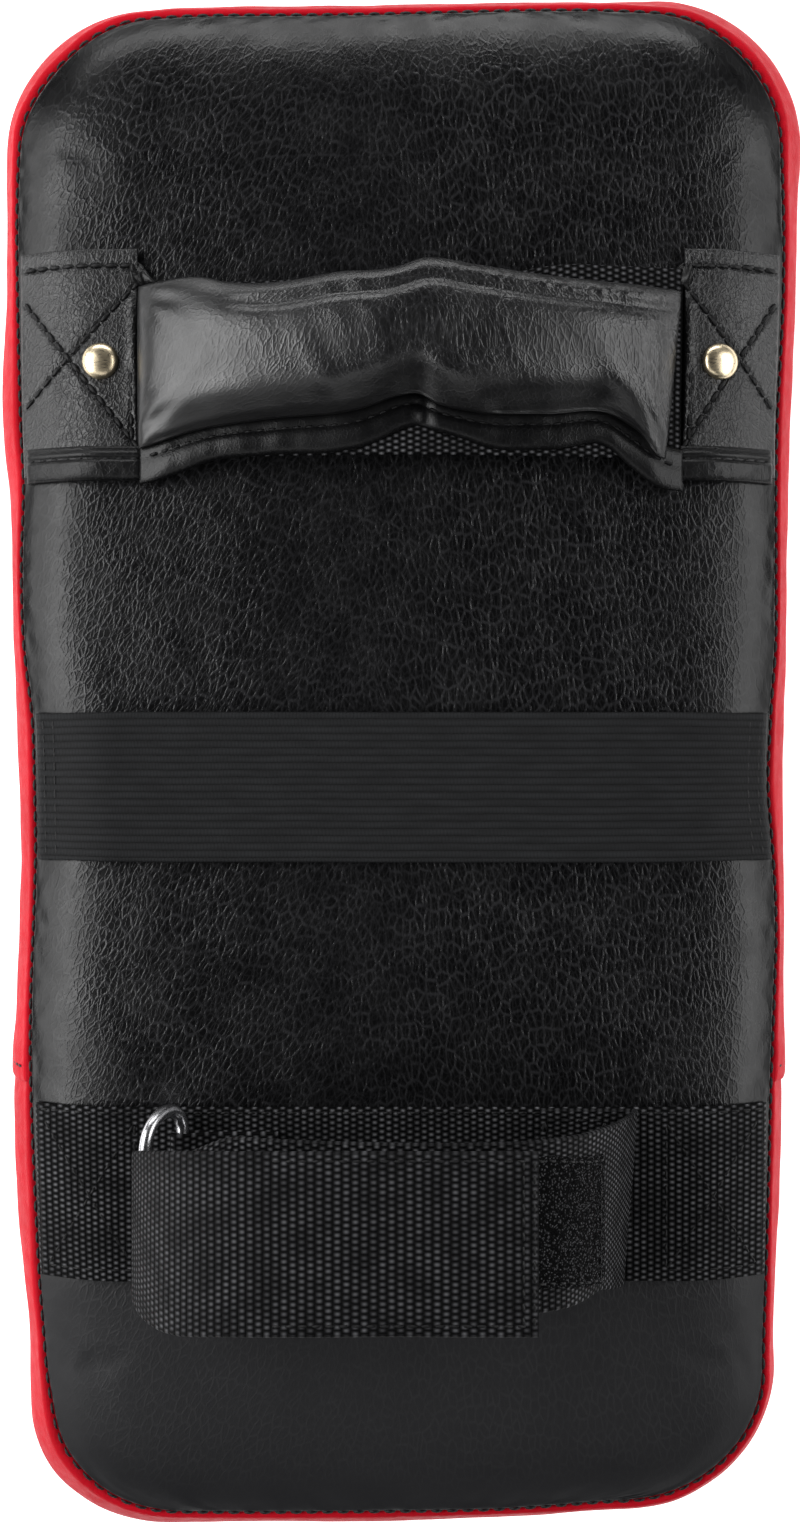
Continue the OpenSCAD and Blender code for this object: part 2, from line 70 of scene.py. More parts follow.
run = TOP_CENTRE - BOTTOM_CENTRE
TILT = math.atan2(run[1], run[0]) - math.acos((CORNER_BOTTOM - CORNER_TOP) / np.hypot(*run))
SIDE_N = np.array([math.cos(TILT), math.sin(TILT)])


def direction(degrees):
    a = math.radians(degrees)
    return np.array([math.cos(a), math.sin(a)])


def smooth(t):
    t = np.clip(t, 0, 1)
    return t * t * (3 - 2 * t)


def bump(x, centre, width):
    return np.exp(-((x - centre) / width) ** 2)


def unit(v):
    return v / max(np.linalg.norm(v), 1e-9)


def flat(x, y):
    return np.column_stack([x, y, 0 * x])


def wobble(p, size, seed=0.0):
    """Smooth noise, about -1 to 1, at each point of p; size is a feature's width, one number or three."""
    q = np.asarray(p, float) / np.asarray(size, float) + seed * np.array([1.7, 3.1, 5.3])
    return np.array([noise.noise(Vector(v)) for v in q])


# ---------------------------------------------------------------- the seam outline
def seam_x(y):
    """Half the width of the straight sides at y."""
    return (TOP_CENTRE @ SIDE_N + CORNER_TOP - y * SIDE_N[1]) / SIDE_N[0]


TOP_TURN = TOP_CENTRE[1] + CORNER_TOP * SIDE_N[1]
BOTTOM_TURN = BOTTOM_CENTRE[1] + CORNER_BOTTOM * SIDE_N[1]


def half_width(y):
    """Half the width of the whole outline at y, corners included."""
    if y > TOP_TURN:
        return TOP_CENTRE[0] + math.sqrt(max(CORNER_TOP**2 - (y - TOP_CENTRE[1]) ** 2, 0))
    if y < BOTTOM_TURN:
        return BOTTOM_CENTRE[0] + math.sqrt(max(CORNER_BOTTOM**2 - (y - BOTTOM_CENTRE[1]) ** 2, 0))
    return seam_x(y)


def outline_facts(x, y):
    """How far inside the outline each point lies, and the outward normal of the nearest bit of it."""
    sx, ax = np.sign(x) + (x == 0), np.abs(x)
    side = (seam_x(y) - ax) * SIDE_N[0]
    end = SEAM_HALF_LEN - np.abs(y)
    inset = np.minimum(side, end)
    normal = np.where((side < end)[:, None], np.stack([sx * SIDE_N[0], 0 * y + SIDE_N[1]], 1),
                      np.stack([0 * x, np.sign(y)], 1))
    for centre, r, where in ((TOP_CENTRE, CORNER_TOP, (ax > TOP_CENTRE[0]) & (y > TOP_TURN)),
                             (BOTTOM_CENTRE, CORNER_BOTTOM, (ax > BOTTOM_CENTRE[0]) & (y < BOTTOM_TURN))):
        d = np.stack([ax - centre[0], y - centre[1]], 1)
        length = np.maximum(np.hypot(d[:, 0], d[:, 1]), 1e-6)
        inset = np.where(where, r - length, inset)
        normal = np.where(where[:, None], np.stack([sx * d[:, 0] / length, d[:, 1] / length], 1), normal)
    return inset, normal


def outline_stations(step=2.6):
    """Points and outward normals round the outline, from the right side's foot, counter-clockwise."""
    stations = []

    def line(a, b, n):
        k = max(int(np.hypot(*(b - a)) / step), 1)
        stations.extend((a + (b - a) * i / k, n) for i in range(k))

    def arc(centre, r, a0, a1):
        k = max(int(abs(math.radians(a1 - a0)) * r / step), 6)
        for i in range(k):
            n = direction(a0 + (a1 - a0) * i / k)
            stations.append((centre + r * n, n))

    flip = np.array([-1.0, 1.0])
    tilt = math.degrees(TILT)
    right_low, right_high = BOTTOM_CENTRE + CORNER_BOTTOM * SIDE_N, TOP_CENTRE + CORNER_TOP * SIDE_N
    line(right_low, right_high, SIDE_N)
    arc(TOP_CENTRE, CORNER_TOP, tilt, 90)
    line(np.array([TOP_CENTRE[0], SEAM_HALF_LEN]), np.array([-TOP_CENTRE[0], SEAM_HALF_LEN]),
         np.array([0.0, 1.0]))
    arc(TOP_CENTRE * flip, CORNER_TOP, 90, 180 - tilt)
    line(right_high * flip, right_low * flip, SIDE_N * flip)
    arc(BOTTOM_CENTRE * flip, CORNER_BOTTOM, 180 - tilt, 270)
    line(np.array([-BOTTOM_CENTRE[0], -SEAM_HALF_LEN]), np.array([BOTTOM_CENTRE[0], -SEAM_HALF_LEN]),
         np.array([0.0, -1.0]))
    arc(BOTTOM_CENTRE, CORNER_BOTTOM, 270, 360 + tilt)
    return stations


def curve(knots):
    """A smooth function through (place, value) knots."""
    xs, ys = (np.array(v, float) for v in zip(*knots))
    slope = np.gradient(ys, xs)

    def at(x):
        x = np.clip(x, xs[0], xs[-1])
        i = np.clip(np.searchsorted(xs, x, side="right") - 1, 0, len(xs) - 2)
        h = xs[i + 1] - xs[i]
        t = (x - xs[i]) / h
        return ((2 * t**3 - 3 * t**2 + 1) * ys[i] + (t**3 - 2 * t**2 + t) * h * slope[i]
                + (-2 * t**3 + 3 * t**2) * ys[i + 1] + (t**3 - t**2) * h * slope[i + 1])

    return at


# How far the band, the patches and the webbing pull the seam in along each long side, and how much more than
# its usual bulge the gusset stands out there: (y, millimetres).
PULL_LEFT = curve([(-190, 0.2), (-175, 1.5), (-164, 3.1), (-151, 2.6), (-131, 1.5), (-110, 0.8), (-90, 0.3),
                   (-79, 0.2), (-60, 0.6), (-40, 1.7), (-22, 2.5), (-7, 2.5), (11, 2.2), (31, 0.3),
                   (51, 0.1), (71, 1.0), (85, 0.6), (122, 0.3), (160, 0.5)])
PULL_RIGHT = curve([(-190, 0.6), (-174, -0.2), (-163, -0.2), (-151, 0.3), (-131, 0.2), (-110, 0.0),
                    (-79, -0.3), (-60, -0.7), (-40, -0.8), (-22, 0.4), (-7, 1.8), (11, 1.5), (31, 0.5),
                    (51, 0.8), (81, 1.2), (122, 0.1), (160, 0.8)])
SWELL_LEFT = curve([(-190, 0.0), (-180, -1.6), (-171, -2.2), (-162, -1.5), (-151, -1.2), (-136, 0.2),
                    (-90, 1.0), (-79, 0.5), (-40, 0.0), (-22, 0.3), (10, 1.0), (31, -0.9), (51, -0.3),
                    (71, 1.8), (86, 2.9), (100, 2.8), (122, 1.6), (160, 0.5)])
SWELL_RIGHT = curve([(-190, 0.4), (-172, -0.3), (-151, -0.3), (-140, 0.1), (-79, 0.3), (-40, -0.7),
                     (-22, 0.0), (-7, 1.2), (10, 1.0), (31, 0.3), (81, 1.3), (122, 0.4), (160, 1.4)])
# How far each corner of the seam is drawn in, in x and in y, and how far the gusset stands out past it.
CORNERS = {(-1, 1): (2.2, 4.0, 3.6), (1, 1): (1.2, 1.8, 4.5),
           (-1, -1): (0.3, 0.3, 5.4), (1, -1): (0.8, 0.8, 2.2)}
CORNER_X, CORNER_Y, CORNER_REACH = 90, 180, 25.0


def corner_share(x, y, sx, sy):
    return bump(np.hypot(x - sx * CORNER_X, y - sy * CORNER_Y), 0, CORNER_REACH)


def sewn(points):
    """Moves points of the sewn shell, and of what is sewn to it, to where the seams and straps pull them."""
    p = np.array(points, float)
    x, y = p[:, 0].copy(), p[:, 1].copy()
    share = smooth((np.abs(x) / np.maximum(seam_x(y), 1) - 0.55) / 0.4)
    p[:, 0] -= np.sign(x) * np.where(x < 0, PULL_LEFT(y), PULL_RIGHT(y)) * share
    for (sx, sy), (pull_x, pull_y, _) in CORNERS.items():
        w = corner_share(x, y, sx, sy)
        p[:, 0] -= sx * w * pull_x
        p[:, 1] -= sy * w * pull_y
    p[:, 1] += smooth((-y - 120) / 70) * (2.4 * bump(x, 60, 26) - 0.4 * bump(x, -40, 40))
    p[:, 1] += smooth((y - 120) / 70) * (0.9 * bump(x, 45, 45) - 0.5 * bump(x, -25, 45))
    return p


def crown_drop(inset):
    i = np.clip(inset, 0, EDGE_ROLL)
    return EDGE_DROP * (1 - np.sin(np.pi / 2 * i / EDGE_ROLL))


def soft_crown(inset):
    """The panel's own fall towards its seam: close to the CAD one, without its sudden start."""
    return EDGE_DROP * np.exp(-((np.maximum(inset, 0) / 9.5) ** 1.2))


def back_z(x, y):
    """Height of the back panel at a point of the unmoved plane."""
    return PAD_T - crown_drop(outline_facts(np.atleast_1d(x), np.atleast_1d(y))[0])


# ---------------------------------------------------------------- meshes
def read(items, key, width=1, kind=np.float32):
    """A value, or a row of them, for each item of a mesh."""
    values = np.zeros(len(items) * width, kind)
    items.foreach_get(key, values)
    return values.reshape(-1, width) if width > 1 else values


def add_attribute(mesh, key, values):
    mesh.attributes.new(key, "FLOAT", "POINT").data.foreach_set("value", np.asarray(values, np.float32))


def mesh_object(name, points, faces, uv=None, material=None, attributes=None):
    mesh = bpy.data.meshes.new(name)
    mesh.from_pydata((np.asarray(points, float) * MM).tolist(), [], [tuple(map(int, f)) for f in faces])
    mesh.validate()
    mesh.shade_smooth()
    if uv is not None:
        layer = mesh.uv_layers.new(name="UVMap")
        index = read(mesh.loops, "vertex_index", kind=np.int32)
        layer.data.foreach_set("uv", np.asarray(uv, np.float32)[index].ravel())
    for key, values in (attributes or {}).items():
        add_attribute(mesh, key, values)
    if material:
        mesh.materials.append(material)
    obj = bpy.data.objects.new(name, mesh)
    scene.collection.objects.link(obj)
    return obj


def grid_faces(rows, cols, wrap=False, flip=False):
    faces = []
    for r in range(rows - 1):
        for c in range(cols if wrap else cols - 1):
            d = (c + 1) % cols
            f = (r * cols + c, r * cols + d, (r + 1) * cols + d, (r + 1) * cols + c)
            faces.append(f[::-1] if flip else f)
    return faces


def tube_faces(rows, cols, flip=False):
    """Rings of points joined into a tube, with a cap on both ends."""
    caps = [tuple(reversed(range(cols))), tuple((rows - 1) * cols + i for i in range(cols))]
    return grid_faces(rows, cols, wrap=True, flip=flip) + [f[::-1] if flip else f for f in caps]


def moved_on(faces, first):
    return [tuple(first + i for i in f) for f in faces]


def coords(mesh):
    return read(mesh.vertices, "co", 3).astype(float) / MM


def set_coords(obj, points):
    obj.data.vertices.foreach_set("co", (np.asarray(points) * MM).astype(np.float32).ravel())
    obj.data.update()


def apply_modifiers(obj):
    """Replaces the mesh by its evaluated one."""
    bpy.context.view_layer.update()
    mesh = bpy.data.meshes.new_from_object(obj.evaluated_get(bpy.context.evaluated_depsgraph_get()))
    obj.modifiers.clear()
    obj.data = mesh
    mesh.shade_smooth()


def subdivide(obj, levels=1):
    obj.modifiers.new("round", "SUBSURF").levels = levels
    obj.modifiers["round"].subdivision_type = "CATMULL_CLARK"
    apply_modifiers(obj)


CLOTH_FRAMES = 20


def swell(obj, held, pressure, cap):
    """Lets the panel swell as cloth under pressure, held at its seam; no point moves further than cap."""
    rest = coords(obj.data)
    pin = obj.vertex_groups.new(name="held")
    pin.add([int(i) for i in np.flatnonzero(held)], 1.0, "REPLACE")
    cloth = obj.modifiers.new("cloth", "CLOTH").settings
    cloth.quality = 5
    cloth.mass = 0.15
    cloth.tension_stiffness = cloth.compression_stiffness = 12
    cloth.shear_stiffness = 4
    cloth.bending_stiffness = 0.4
    cloth.use_pressure = True
    cloth.uniform_pressure_force = pressure
    cloth.vertex_group_mass = "held"
    cloth.effector_weights.gravity = 0
    for f in range(1, CLOTH_FRAMES + 1):
        scene.frame_set(f)
    swollen = obj.evaluated_get(bpy.context.evaluated_depsgraph_get())
    moved = coords(swollen.data) - rest
    obj.modifiers.clear()
    obj.vertex_groups.clear()
    scene.frame_set(1)
    length = np.maximum(np.linalg.norm(moved, axis=1), 1e-9)
    set_coords(obj, rest + moved * (cap * np.tanh(length / cap) / length)[:, None])


# ---------------------------------------------------------------- materials
class Shader:
    """One node material, with short ways to add the nodes that this file uses."""

    def __init__(self, name, colour, roughness, **inputs):
        self.material = bpy.data.materials.new(name)
        self.material.use_nodes = True
        self.material.diffuse_color = (*colour, 1)
        self.nodes, self.links = self.material.node_tree.nodes, self.material.node_tree.links
        self.bsdf = self.nodes["Principled BSDF"]
        self.bsdf.inputs["Base Color"].default_value = (*colour, 1)
        self.bsdf.inputs["Roughness"].default_value = roughness
        for key, value in inputs.items():
            self.bsdf.inputs[key.replace("_", " ")].default_value = value

    def put(self, node, socket, value):
        target = node.inputs[socket]
        if isinstance(value, bpy.types.NodeSocket):
            self.links.new(value, target)
        else:
            target.default_value = value

    def math(self, operation, a, b=0.0, c=0.0):
        node = self.nodes.new("ShaderNodeMath")
        node.operation = operation
        for i, v in enumerate((a, b, c)):
            self.put(node, i, v)
        return node.outputs[0]

    def times(self, a, b):
        return self.math("MULTIPLY", a, b)

    def plus(self, a, b):
        return self.math("ADD", a, b)

    def wave(self, half_turns):
        return self.math("SINE", self.times(half_turns, math.pi))

    def where(self, kind="Object"):
        return self.nodes.new("ShaderNodeTexCoord").outputs[kind]

    def millimetres(self, kind="Object"):
        """The piece's own coordinates, or its UVs, in millimetres."""
        return self.mapped(self.where(kind), (1 / MM if kind == "Object" else 1.0,) * 3)

    def split(self, vector):
        node = self.nodes.new("ShaderNodeSeparateXYZ")
        self.links.new(vector, node.inputs[0])
        return node.outputs

    def attribute(self, name):
        node = self.nodes.new("ShaderNodeAttribute")
        node.attribute_name = name
        return node.outputs["Fac"]

    def mapped(self, vector, scale, rotation=(0, 0, 0)):
        node = self.nodes.new("ShaderNodeMapping")
        node.inputs["Scale"].default_value = scale
        node.inputs["Rotation"].default_value = [math.radians(a) for a in rotation]
        self.links.new(vector, node.inputs["Vector"])
        return node.outputs[0]

    def noise(self, vector, scale, detail=3.0, roughness=0.5, colour=False):
        node = self.nodes.new("ShaderNodeTexNoise")
        self.put(node, "Vector", vector)
        self.put(node, "Scale", scale)
        self.put(node, "Detail", detail)
        self.put(node, "Roughness", roughness)
        return node.outputs["Color" if colour else 0]

    def warped(self, vector, scale, amount):
        node = self.nodes.new("ShaderNodeVectorMath")
        node.operation = "MULTIPLY_ADD"
        self.links.new(self.noise(vector, scale, 2, colour=True), node.inputs[0])
        node.inputs[1].default_value = (amount,) * 3
        self.links.new(vector, node.inputs[2])
        return node.outputs[0]

    def cells(self, vector, scale, feature="DISTANCE_TO_EDGE", plane=False):
        node = self.nodes.new("ShaderNodeTexVoronoi")
        node.voronoi_dimensions = "2D" if plane else "3D"
        node.feature = feature
        self.put(node, "Vector", vector)
        self.put(node, "Scale", scale)
        return node.outputs["Distance"]

    def span(self, value, low, high, out_low=0.0, out_high=1.0):
        node = self.nodes.new("ShaderNodeMapRange")
        node.interpolation_type = "SMOOTHSTEP"
        keys = ("Value", "From Min", "From Max", "To Min", "To Max")
        for key, v in zip(keys, (value, low, high, out_low, out_high)):
            self.put(node, key, v)
        return node.outputs[0]

    def mix(self, share, a, b):
        node = self.nodes.new("ShaderNodeMix")
        node.data_type = "RGBA"
        self.put(node, 0, share)
        for socket, v in ((6, a), (7, b)):
            self.put(node, socket, (*v, 1) if isinstance(v, tuple) and len(v) == 3 else v)
        return node.outputs[2]

    def surface(self, height, distance, strength, colour, roughness=None):
        """Finishes the material with a bump, distance millimetres deep, a colour and maybe a roughness."""
        node = self.nodes.new("ShaderNodeBump")
        self.put(node, "Height", height)
        self.put(node, "Strength", strength)
        node.inputs["Distance"].default_value = distance * MM
        self.links.new(node.outputs[0], self.bsdf.inputs["Normal"])
        self.links.new(colour, self.bsdf.inputs["Base Color"])
        if roughness is not None:
            self.links.new(roughness, self.bsdf.inputs["Roughness"])
        return self.material


# painted grey sheen: the base colour of the matt lower part of the back panel
PAINTED_SHEEN_BLACK = (0.012, 0.012, 0.014)


def grained_leather(name, colour, ridge_highlight, roughness, size=1.9, leans=(26, -5), stretch=0.5, depth=0.055,
                    coordinates="Object", specular=0.5):
    """Coated leather: a closed net of fine ridges round small flat cells, which leans by leans[0] on the
    left and leans[1] on the right, with a painted highlight on the ridges. The vertex attribute "grain" fades
    it;
    the other attribute marks where the coat is matt and its base colour is lifted to a painted grey sheen."""
    s = Shader(name, colour, roughness, Specular_IOR_Level=specular)
    base = s.millimetres(coordinates)
    bent = s.warped(s.warped(base, 0.07, 2.6), 0.45, 0.5)
    right = s.span(s.split(base)[0], -55, 25)
    left = s.math("SUBTRACT", 1.0, right)

    def net(cell, width, lean):
        turned = s.mapped(bent, (1, 1, 1), (0, 0, lean))
        edge = s.cells(s.mapped(turned, (1, stretch, 1)), 1 / cell, plane=True)
        return s.span(edge, 0.0, width, 1, 0)

    def both(cell, width):
        return s.plus(s.times(net(cell, width, leans[0]), left), s.times(net(cell, width, leans[1]), right))

    patchy = s.span(s.noise(base, 0.22, 2), 0.34, 0.6, 0.5, 1)
    ridge = s.times(both(size, 0.19), patchy)
    fine = both(size * 0.55, 0.20)
    height = s.plus(s.plus(ridge, s.times(fine, 0.5)), s.times(s.noise(base, 1.6, 3), 0.10))
    amount = s.math("MAXIMUM", s.attribute("grain"), 0.07)
    matt_and_sheen = s.attribute("matt_and_sheen")
    rough = s.span(s.noise(base, 0.09, 3), 0.3, 0.7, roughness - 0.03, roughness + 0.06)
    rough = s.plus(rough, s.times(matt_and_sheen, 0.26))
    # painted highlight: the ridges and the fine net are coloured lighter, towards the second colour
    highlight_share = s.times(s.plus(ridge, s.times(fine, 0.3)), amount)
    # painted sheen: where the coat is matt, the base colour is a lighter grey
    ground = s.mix(matt_and_sheen, colour, PAINTED_SHEEN_BLACK)
    return s.surface(height, depth, amount, s.mix(highlight_share, ground, ridge_highlight), rough)


def woven(name, colour, light, pitch_u, pitch_v, ribbed=0.0):
    """Webbing: columns of small oval picks. UVs are millimetres along and across the strap."""
    s = Shader(name, colour, 0.62, Specular_IOR_Level=0.12)
    place = s.where("UV")
    split = s.split(s.warped(place, 0.25, 0.22))
    u = s.math("DIVIDE", split[0], pitch_u)
    across = s.wave(s.math("FRACT", u))
    v = s.plus(s.math("DIVIDE", split[1], pitch_v), s.times(s.math("FLOOR", u), 0.5))
    along = s.wave(s.math("FRACT", v))
    pick = s.times(s.math("POWER", across, 0.7), s.plus(s.times(along, 1 - ribbed), ribbed))
    fibre = s.noise(s.mapped(place, (1.2, 7, 1)), 1.6, 2)
    # painted highlight: the tops of the picks are coloured towards the light colour, brighter in random
    # patches
    highlight_patches = s.span(s.noise(place, 0.12, 2), 0.3, 0.7, 0.45, 1)
    highlight_share = s.times(s.math("POWER", pick, 3.0), highlight_patches)
    return s.surface(s.plus(pick, s.times(fibre, 0.22)), 0.40, 1.0, s.mix(highlight_share, colour, light))


def ribbed_elastic(name, colour, light, pitch, depth):
    """Elastic: fine ribs along the band, crossed by a faint knit."""
    s = Shader(name, colour, 0.7, Specular_IOR_Level=0.3)
    place = s.where("UV")
    split = s.split(s.warped(place, 0.08, 0.35))
    v = s.math("DIVIDE", split[1], pitch)
    rib = s.math("POWER", s.math("ABSOLUTE", s.wave(v)), 0.6)
    knit_turn = s.plus(s.times(split[0], math.pi / 0.9), s.times(s.math("FLOOR", v), 1.4))
    knit = s.math("ABSOLUTE", s.math("SINE", knit_turn))
    # painted highlight: the rib tops are coloured towards the light colour, brighter in random patches
    highlight_patches = s.span(s.noise(s.mapped(place, (0.25, 1.5, 1)), 0.3, 3), 0.3, 0.7, 0.5, 1)
    highlight_share = s.times(s.times(rib, s.span(knit, 0, 1, 0.6, 1)), highlight_patches)
    return s.surface(s.plus(rib, s.times(knit, 0.25)), depth, 1.0, s.mix(highlight_share, colour, light))


def pile_cloth(name, colour, light):
    """Small loops of yarn, with a fuzz over them."""
    s = Shader(name, colour, 0.9, Specular_IOR_Level=0.1)
    base = s.millimetres()
    loops = s.span(s.cells(s.warped(base, 0.8, 0.8), 1.5, "F1"), 0.0, 0.55, 1, 0)
    fuzz = s.noise(base, 3.5, 4, 0.7)
    # painted sheen: the loops and their fuzz are coloured towards the light colour
    return s.surface(s.plus(loops, fuzz), 0.45, 1.0, s.mix(s.times(loops, fuzz), colour, light))


def twisted_thread(name, colour, light):
    s = Shader(name, colour, 0.55)
    split = s.split(s.where("UV"))
    ply = s.math("ABSOLUTE", s.math("SINE", s.times(s.plus(split[0], split[1]), 7.0)))
    # painted highlight along the ply of the twist
    return s.surface(ply, 0.08, 1.0, s.mix(ply, colour, light))


def red_coated(name):
    """The red leather is smoother: a faint pebble and soft long creases."""
    s = Shader(name, (0.66, 0.012, 0.03), 0.55, Specular_IOR_Level=0.08)
    base = s.millimetres()
    pebble = s.span(s.cells(s.warped(base, 0.4, 0.8), 0.8), 0, 0.25)
    height = s.plus(s.times(pebble, 0.4), s.noise(base, 0.12, 3))
    shade = s.mix(s.span(s.noise(base, 0.05, 3), 0.3, 0.7), (0.60, 0.010, 0.026), (0.53, 0.008, 0.021))
    return s.surface(height, 0.12, 0.7, shade, s.span(s.noise(base, 0.3, 3), 0.3, 0.7, 0.46, 0.58))


def polished_metal(name, colour, roughness, scratch):
    s = Shader(name, colour, roughness, Metallic=1.0)
    base = s.millimetres()
    marks = s.noise(s.mapped(base, (0.3, 3, 3)), 2.0, 4)
    cloudy = s.span(s.noise(base, 0.4, 2), 0.35, 0.65)
    shade = s.mix(cloudy, colour, tuple(c * scratch for c in colour))
    return s.surface(marks, 0.01, 0.5, shade, s.span(marks, 0.3, 0.7, roughness, roughness + 0.12))


BLACK = (0.0022, 0.0022, 0.0026)
WEBBING_BLACK = (0.0015, 0.0015, 0.0018)
# The second colour of each leather is a painted highlight on its grain ridges.
leather = grained_leather("black_grained_leather", BLACK, (0.026, 0.026, 0.028), 0.29)
leather_grip = grained_leather("black_grip_leather", BLACK, (0.024, 0.024, 0.026), 0.34, leans=(-30, 8),
                               depth=0.06, coordinates="UV", specular=1.0)
leather_trim = grained_leather("black_trim_leather", BLACK, (0.012, 0.012, 0.013), 0.36, size=1.5,
                               stretch=0.9, depth=0.04)
leather_patch = grained_leather("black_patch_leather", BLACK, (0.020, 0.020, 0.022), 0.40, size=1.5,
                                stretch=0.6, depth=0.11, specular=0.9)
red = red_coated("red_coated_leather")
# The last colour of the webbing, elastic, pile and thread is a painted highlight or sheen on its weave.
webbing = woven("black_webbing", WEBBING_BLACK, (0.185, 0.185, 0.195), pitch_u=1.78, pitch_v=1.5)
webbing_ribbed = woven("black_ribbed_webbing", WEBBING_BLACK, (0.130, 0.130, 0.138), pitch_u=2.05,
                       pitch_v=1.6, ribbed=0.2)
elastic = ribbed_elastic("black_elastic", (0.006, 0.006, 0.0065), (0.023, 0.024, 0.026), pitch=1.84,
                         depth=0.16)
pile = pile_cloth("black_pile", (0.003, 0.003, 0.0034), (0.32, 0.32, 0.335))
thread = twisted_thread("black_thread", (0.002, 0.002, 0.0024), (0.007, 0.007, 0.008))
brass = polished_metal("polished_brass", (1.0, 0.86, 0.62), roughness=0.26, scratch=0.93)
steel = polished_metal("nickel_steel", (0.66, 0.66, 0.68), roughness=0.22, scratch=0.9)


def finished(obj, body, slot, *nodes):
    """The piece rides on its body and stands for its CAD nodes; slot is not used."""
    if body:
        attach(obj, body)
    if nodes:
        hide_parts(*nodes)
    return obj


# ---------------------------------------------------------------- stitches
def stitches(name, lines, body, nodes=(), pitch=3.6, length=2.9, width=0.8, height=0.55, sink=0.1,
             blend=None):
    """Separate stitches along lines of (point, normal): each is a short thread that dips in at both ends.
    Its profile is (place along it, thickness, rise), as shares of its length, its width and its height."""
    profile = ((-0.5, 0.35, -0.55), (-0.36, 0.85, 0.0), (0, 1.0, 0.3), (0.36, 0.85, 0.0), (0.5, 0.35, -0.55))
    sides = 6
    tube = tube_faces(len(profile), sides)
    points, faces, uv = [], [], []
    for line in lines:
        p, n = (np.array(v, float) for v in zip(*line))
        s = np.concatenate([[0], np.cumsum(np.linalg.norm(np.diff(p, axis=0), axis=1))])

        def on(values, at, s=s):
            return np.array([np.interp(at, s, values[:, i]) for i in range(3)])

        count = max(int(s[-1] / pitch), 1)
        for k in range(count):
            mid = (k + 0.5) * s[-1] / count
            faces += moved_on(tube, len(points))
            for r, (along, size, rise) in enumerate(profile):
                at = np.clip(mid + along * length, 0, s[-1])
                up = on(n, at)
                forward = unit(on(p, min(at + 0.5, s[-1])) - on(p, max(at - 0.5, 0)))
                side = unit(np.cross(forward, up))
                centre = on(p, at) + up * (rise * height - sink)
                for a in np.arange(sides) * 2 * math.pi / sides:
                    points.append(centre + side * math.cos(a) * width / 2 * size
                                  + up * math.sin(a) * height / 2 * size)
                uv += [(r * 0.25, c * 0.16) for c in range(sides)]
    obj = mesh_object(name, points, faces, uv, thread)
    finished(obj, None if blend else body, "thread", *nodes)
    if blend:
        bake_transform(obj)
    return obj


# ---------------------------------------------------------------- pad shell
def panel_rows():
    """Places in y of the panel's rows: even on the straight sides, and by angle round the corners."""
    turn = np.linspace(0, 1, 9)
    top = TOP_CENTRE[1] + CORNER_TOP * np.sin(TILT + turn * (math.pi / 2 - TILT))
    low = BOTTOM_CENTRE[1] - CORNER_BOTTOM * np.sin(-TILT + turn * (math.pi / 2 + TILT))
    middle = np.linspace(BOTTOM_TURN, TOP_TURN, 140)
    return np.concatenate([low[::-1], middle[1:-1], top])


PANEL_COLS = 92


def panel_mesh(name, height, flip, material):
    """A panel over the whole outline, as a grid whose columns run out to the seam."""
    rows = panel_rows()
    t = np.linspace(-1, 1, PANEL_COLS)
    t = np.sign(t) * (1 - (1 - np.abs(t)) ** 1.15)
    xy = np.array([(c * half_width(y), y) for y in rows for c in t])
    inset = outline_facts(xy[:, 0], xy[:, 1])[0]
    points = np.column_stack([xy, height(np.maximum(inset, 0))])
    obj = mesh_object(name, points, grid_faces(len(rows), PANEL_COLS, flip=flip), None, material)
    return obj, inset


def boundary_of(rows, cols):
    """The points round a grid's rim, in order."""
    first_row, last_col = np.arange(cols), (np.arange(1, rows) + 1) * cols - 1
    last_row, first_col = (rows - 1) * cols + np.arange(cols - 2, -1, -1), np.arange(rows - 2, 0, -1) * cols
    return np.concatenate([first_row, last_col, last_row, first_col])


def with_lip(obj, up):
    """Adds the panel's edge, turned over at the seam."""
    p = coords(obj.data)
    rows, cols = len(panel_rows()), PANEL_COLS
    ring = boundary_of(rows, cols)
    normal = outline_facts(p[ring, 0], p[ring, 1])[1]
    faces = [tuple(f.vertices) for f in obj.data.polygons]
    points, last = [p], ring
    total = len(p)
    turned = ((0.35, 0.30), (0.45, 0.95), (0.0, 1.5), (-1.6, 2.2))
    for out, drop in turned:
        lip = p[ring].copy()
        lip[:, :2] += normal * out
        lip[:, 2] -= up * drop
        points.append(lip)
        new = np.arange(total, total + len(ring))
        for a in range(len(ring)):
            b = (a + 1) % len(ring)
            f = (last[b], last[a], new[a], new[b])
            faces.append(f if up > 0 else f[::-1])
        last, total = new, total + len(ring)
    material = obj.data.materials[0]
    name = obj.name
    bpy.data.objects.remove(obj)
    return mesh_object(name, np.concatenate(points), faces, None, material)


def puckers(p, inset, seed):
    """Small gathers where a seam draws the leather in."""
    gather = np.exp(-np.maximum(inset, 0) / 4.5) * smooth((inset + 0.3) / 1.2)
    return gather * (0.34 * wobble(p, (5, 5, 30), seed) + 0.22 * wobble(p, (2.6, 2.6, 30), seed + 1))


def strap_footprint(x, y, soft=3.0):
    """How far each point of the back panel is under something sewn over it, 0 to 1."""
    under = smooth((ELASTIC_W / 2 + 1 - np.abs(y - ELASTIC_Y)) / soft)
    under = np.maximum(under, smooth((WEBBING_W / 2 + 1 - np.abs(y - STRAP_Y)) / soft))
    patch = smooth((y - PATCH_Y[0] + 1) / soft) * smooth((PATCH_Y[1] + 1 - y) / soft)
    beyond = smooth((np.abs(x - GRIP_X) - GRIP_HALF + 2) / soft)
    return np.maximum(under, patch * beyond)


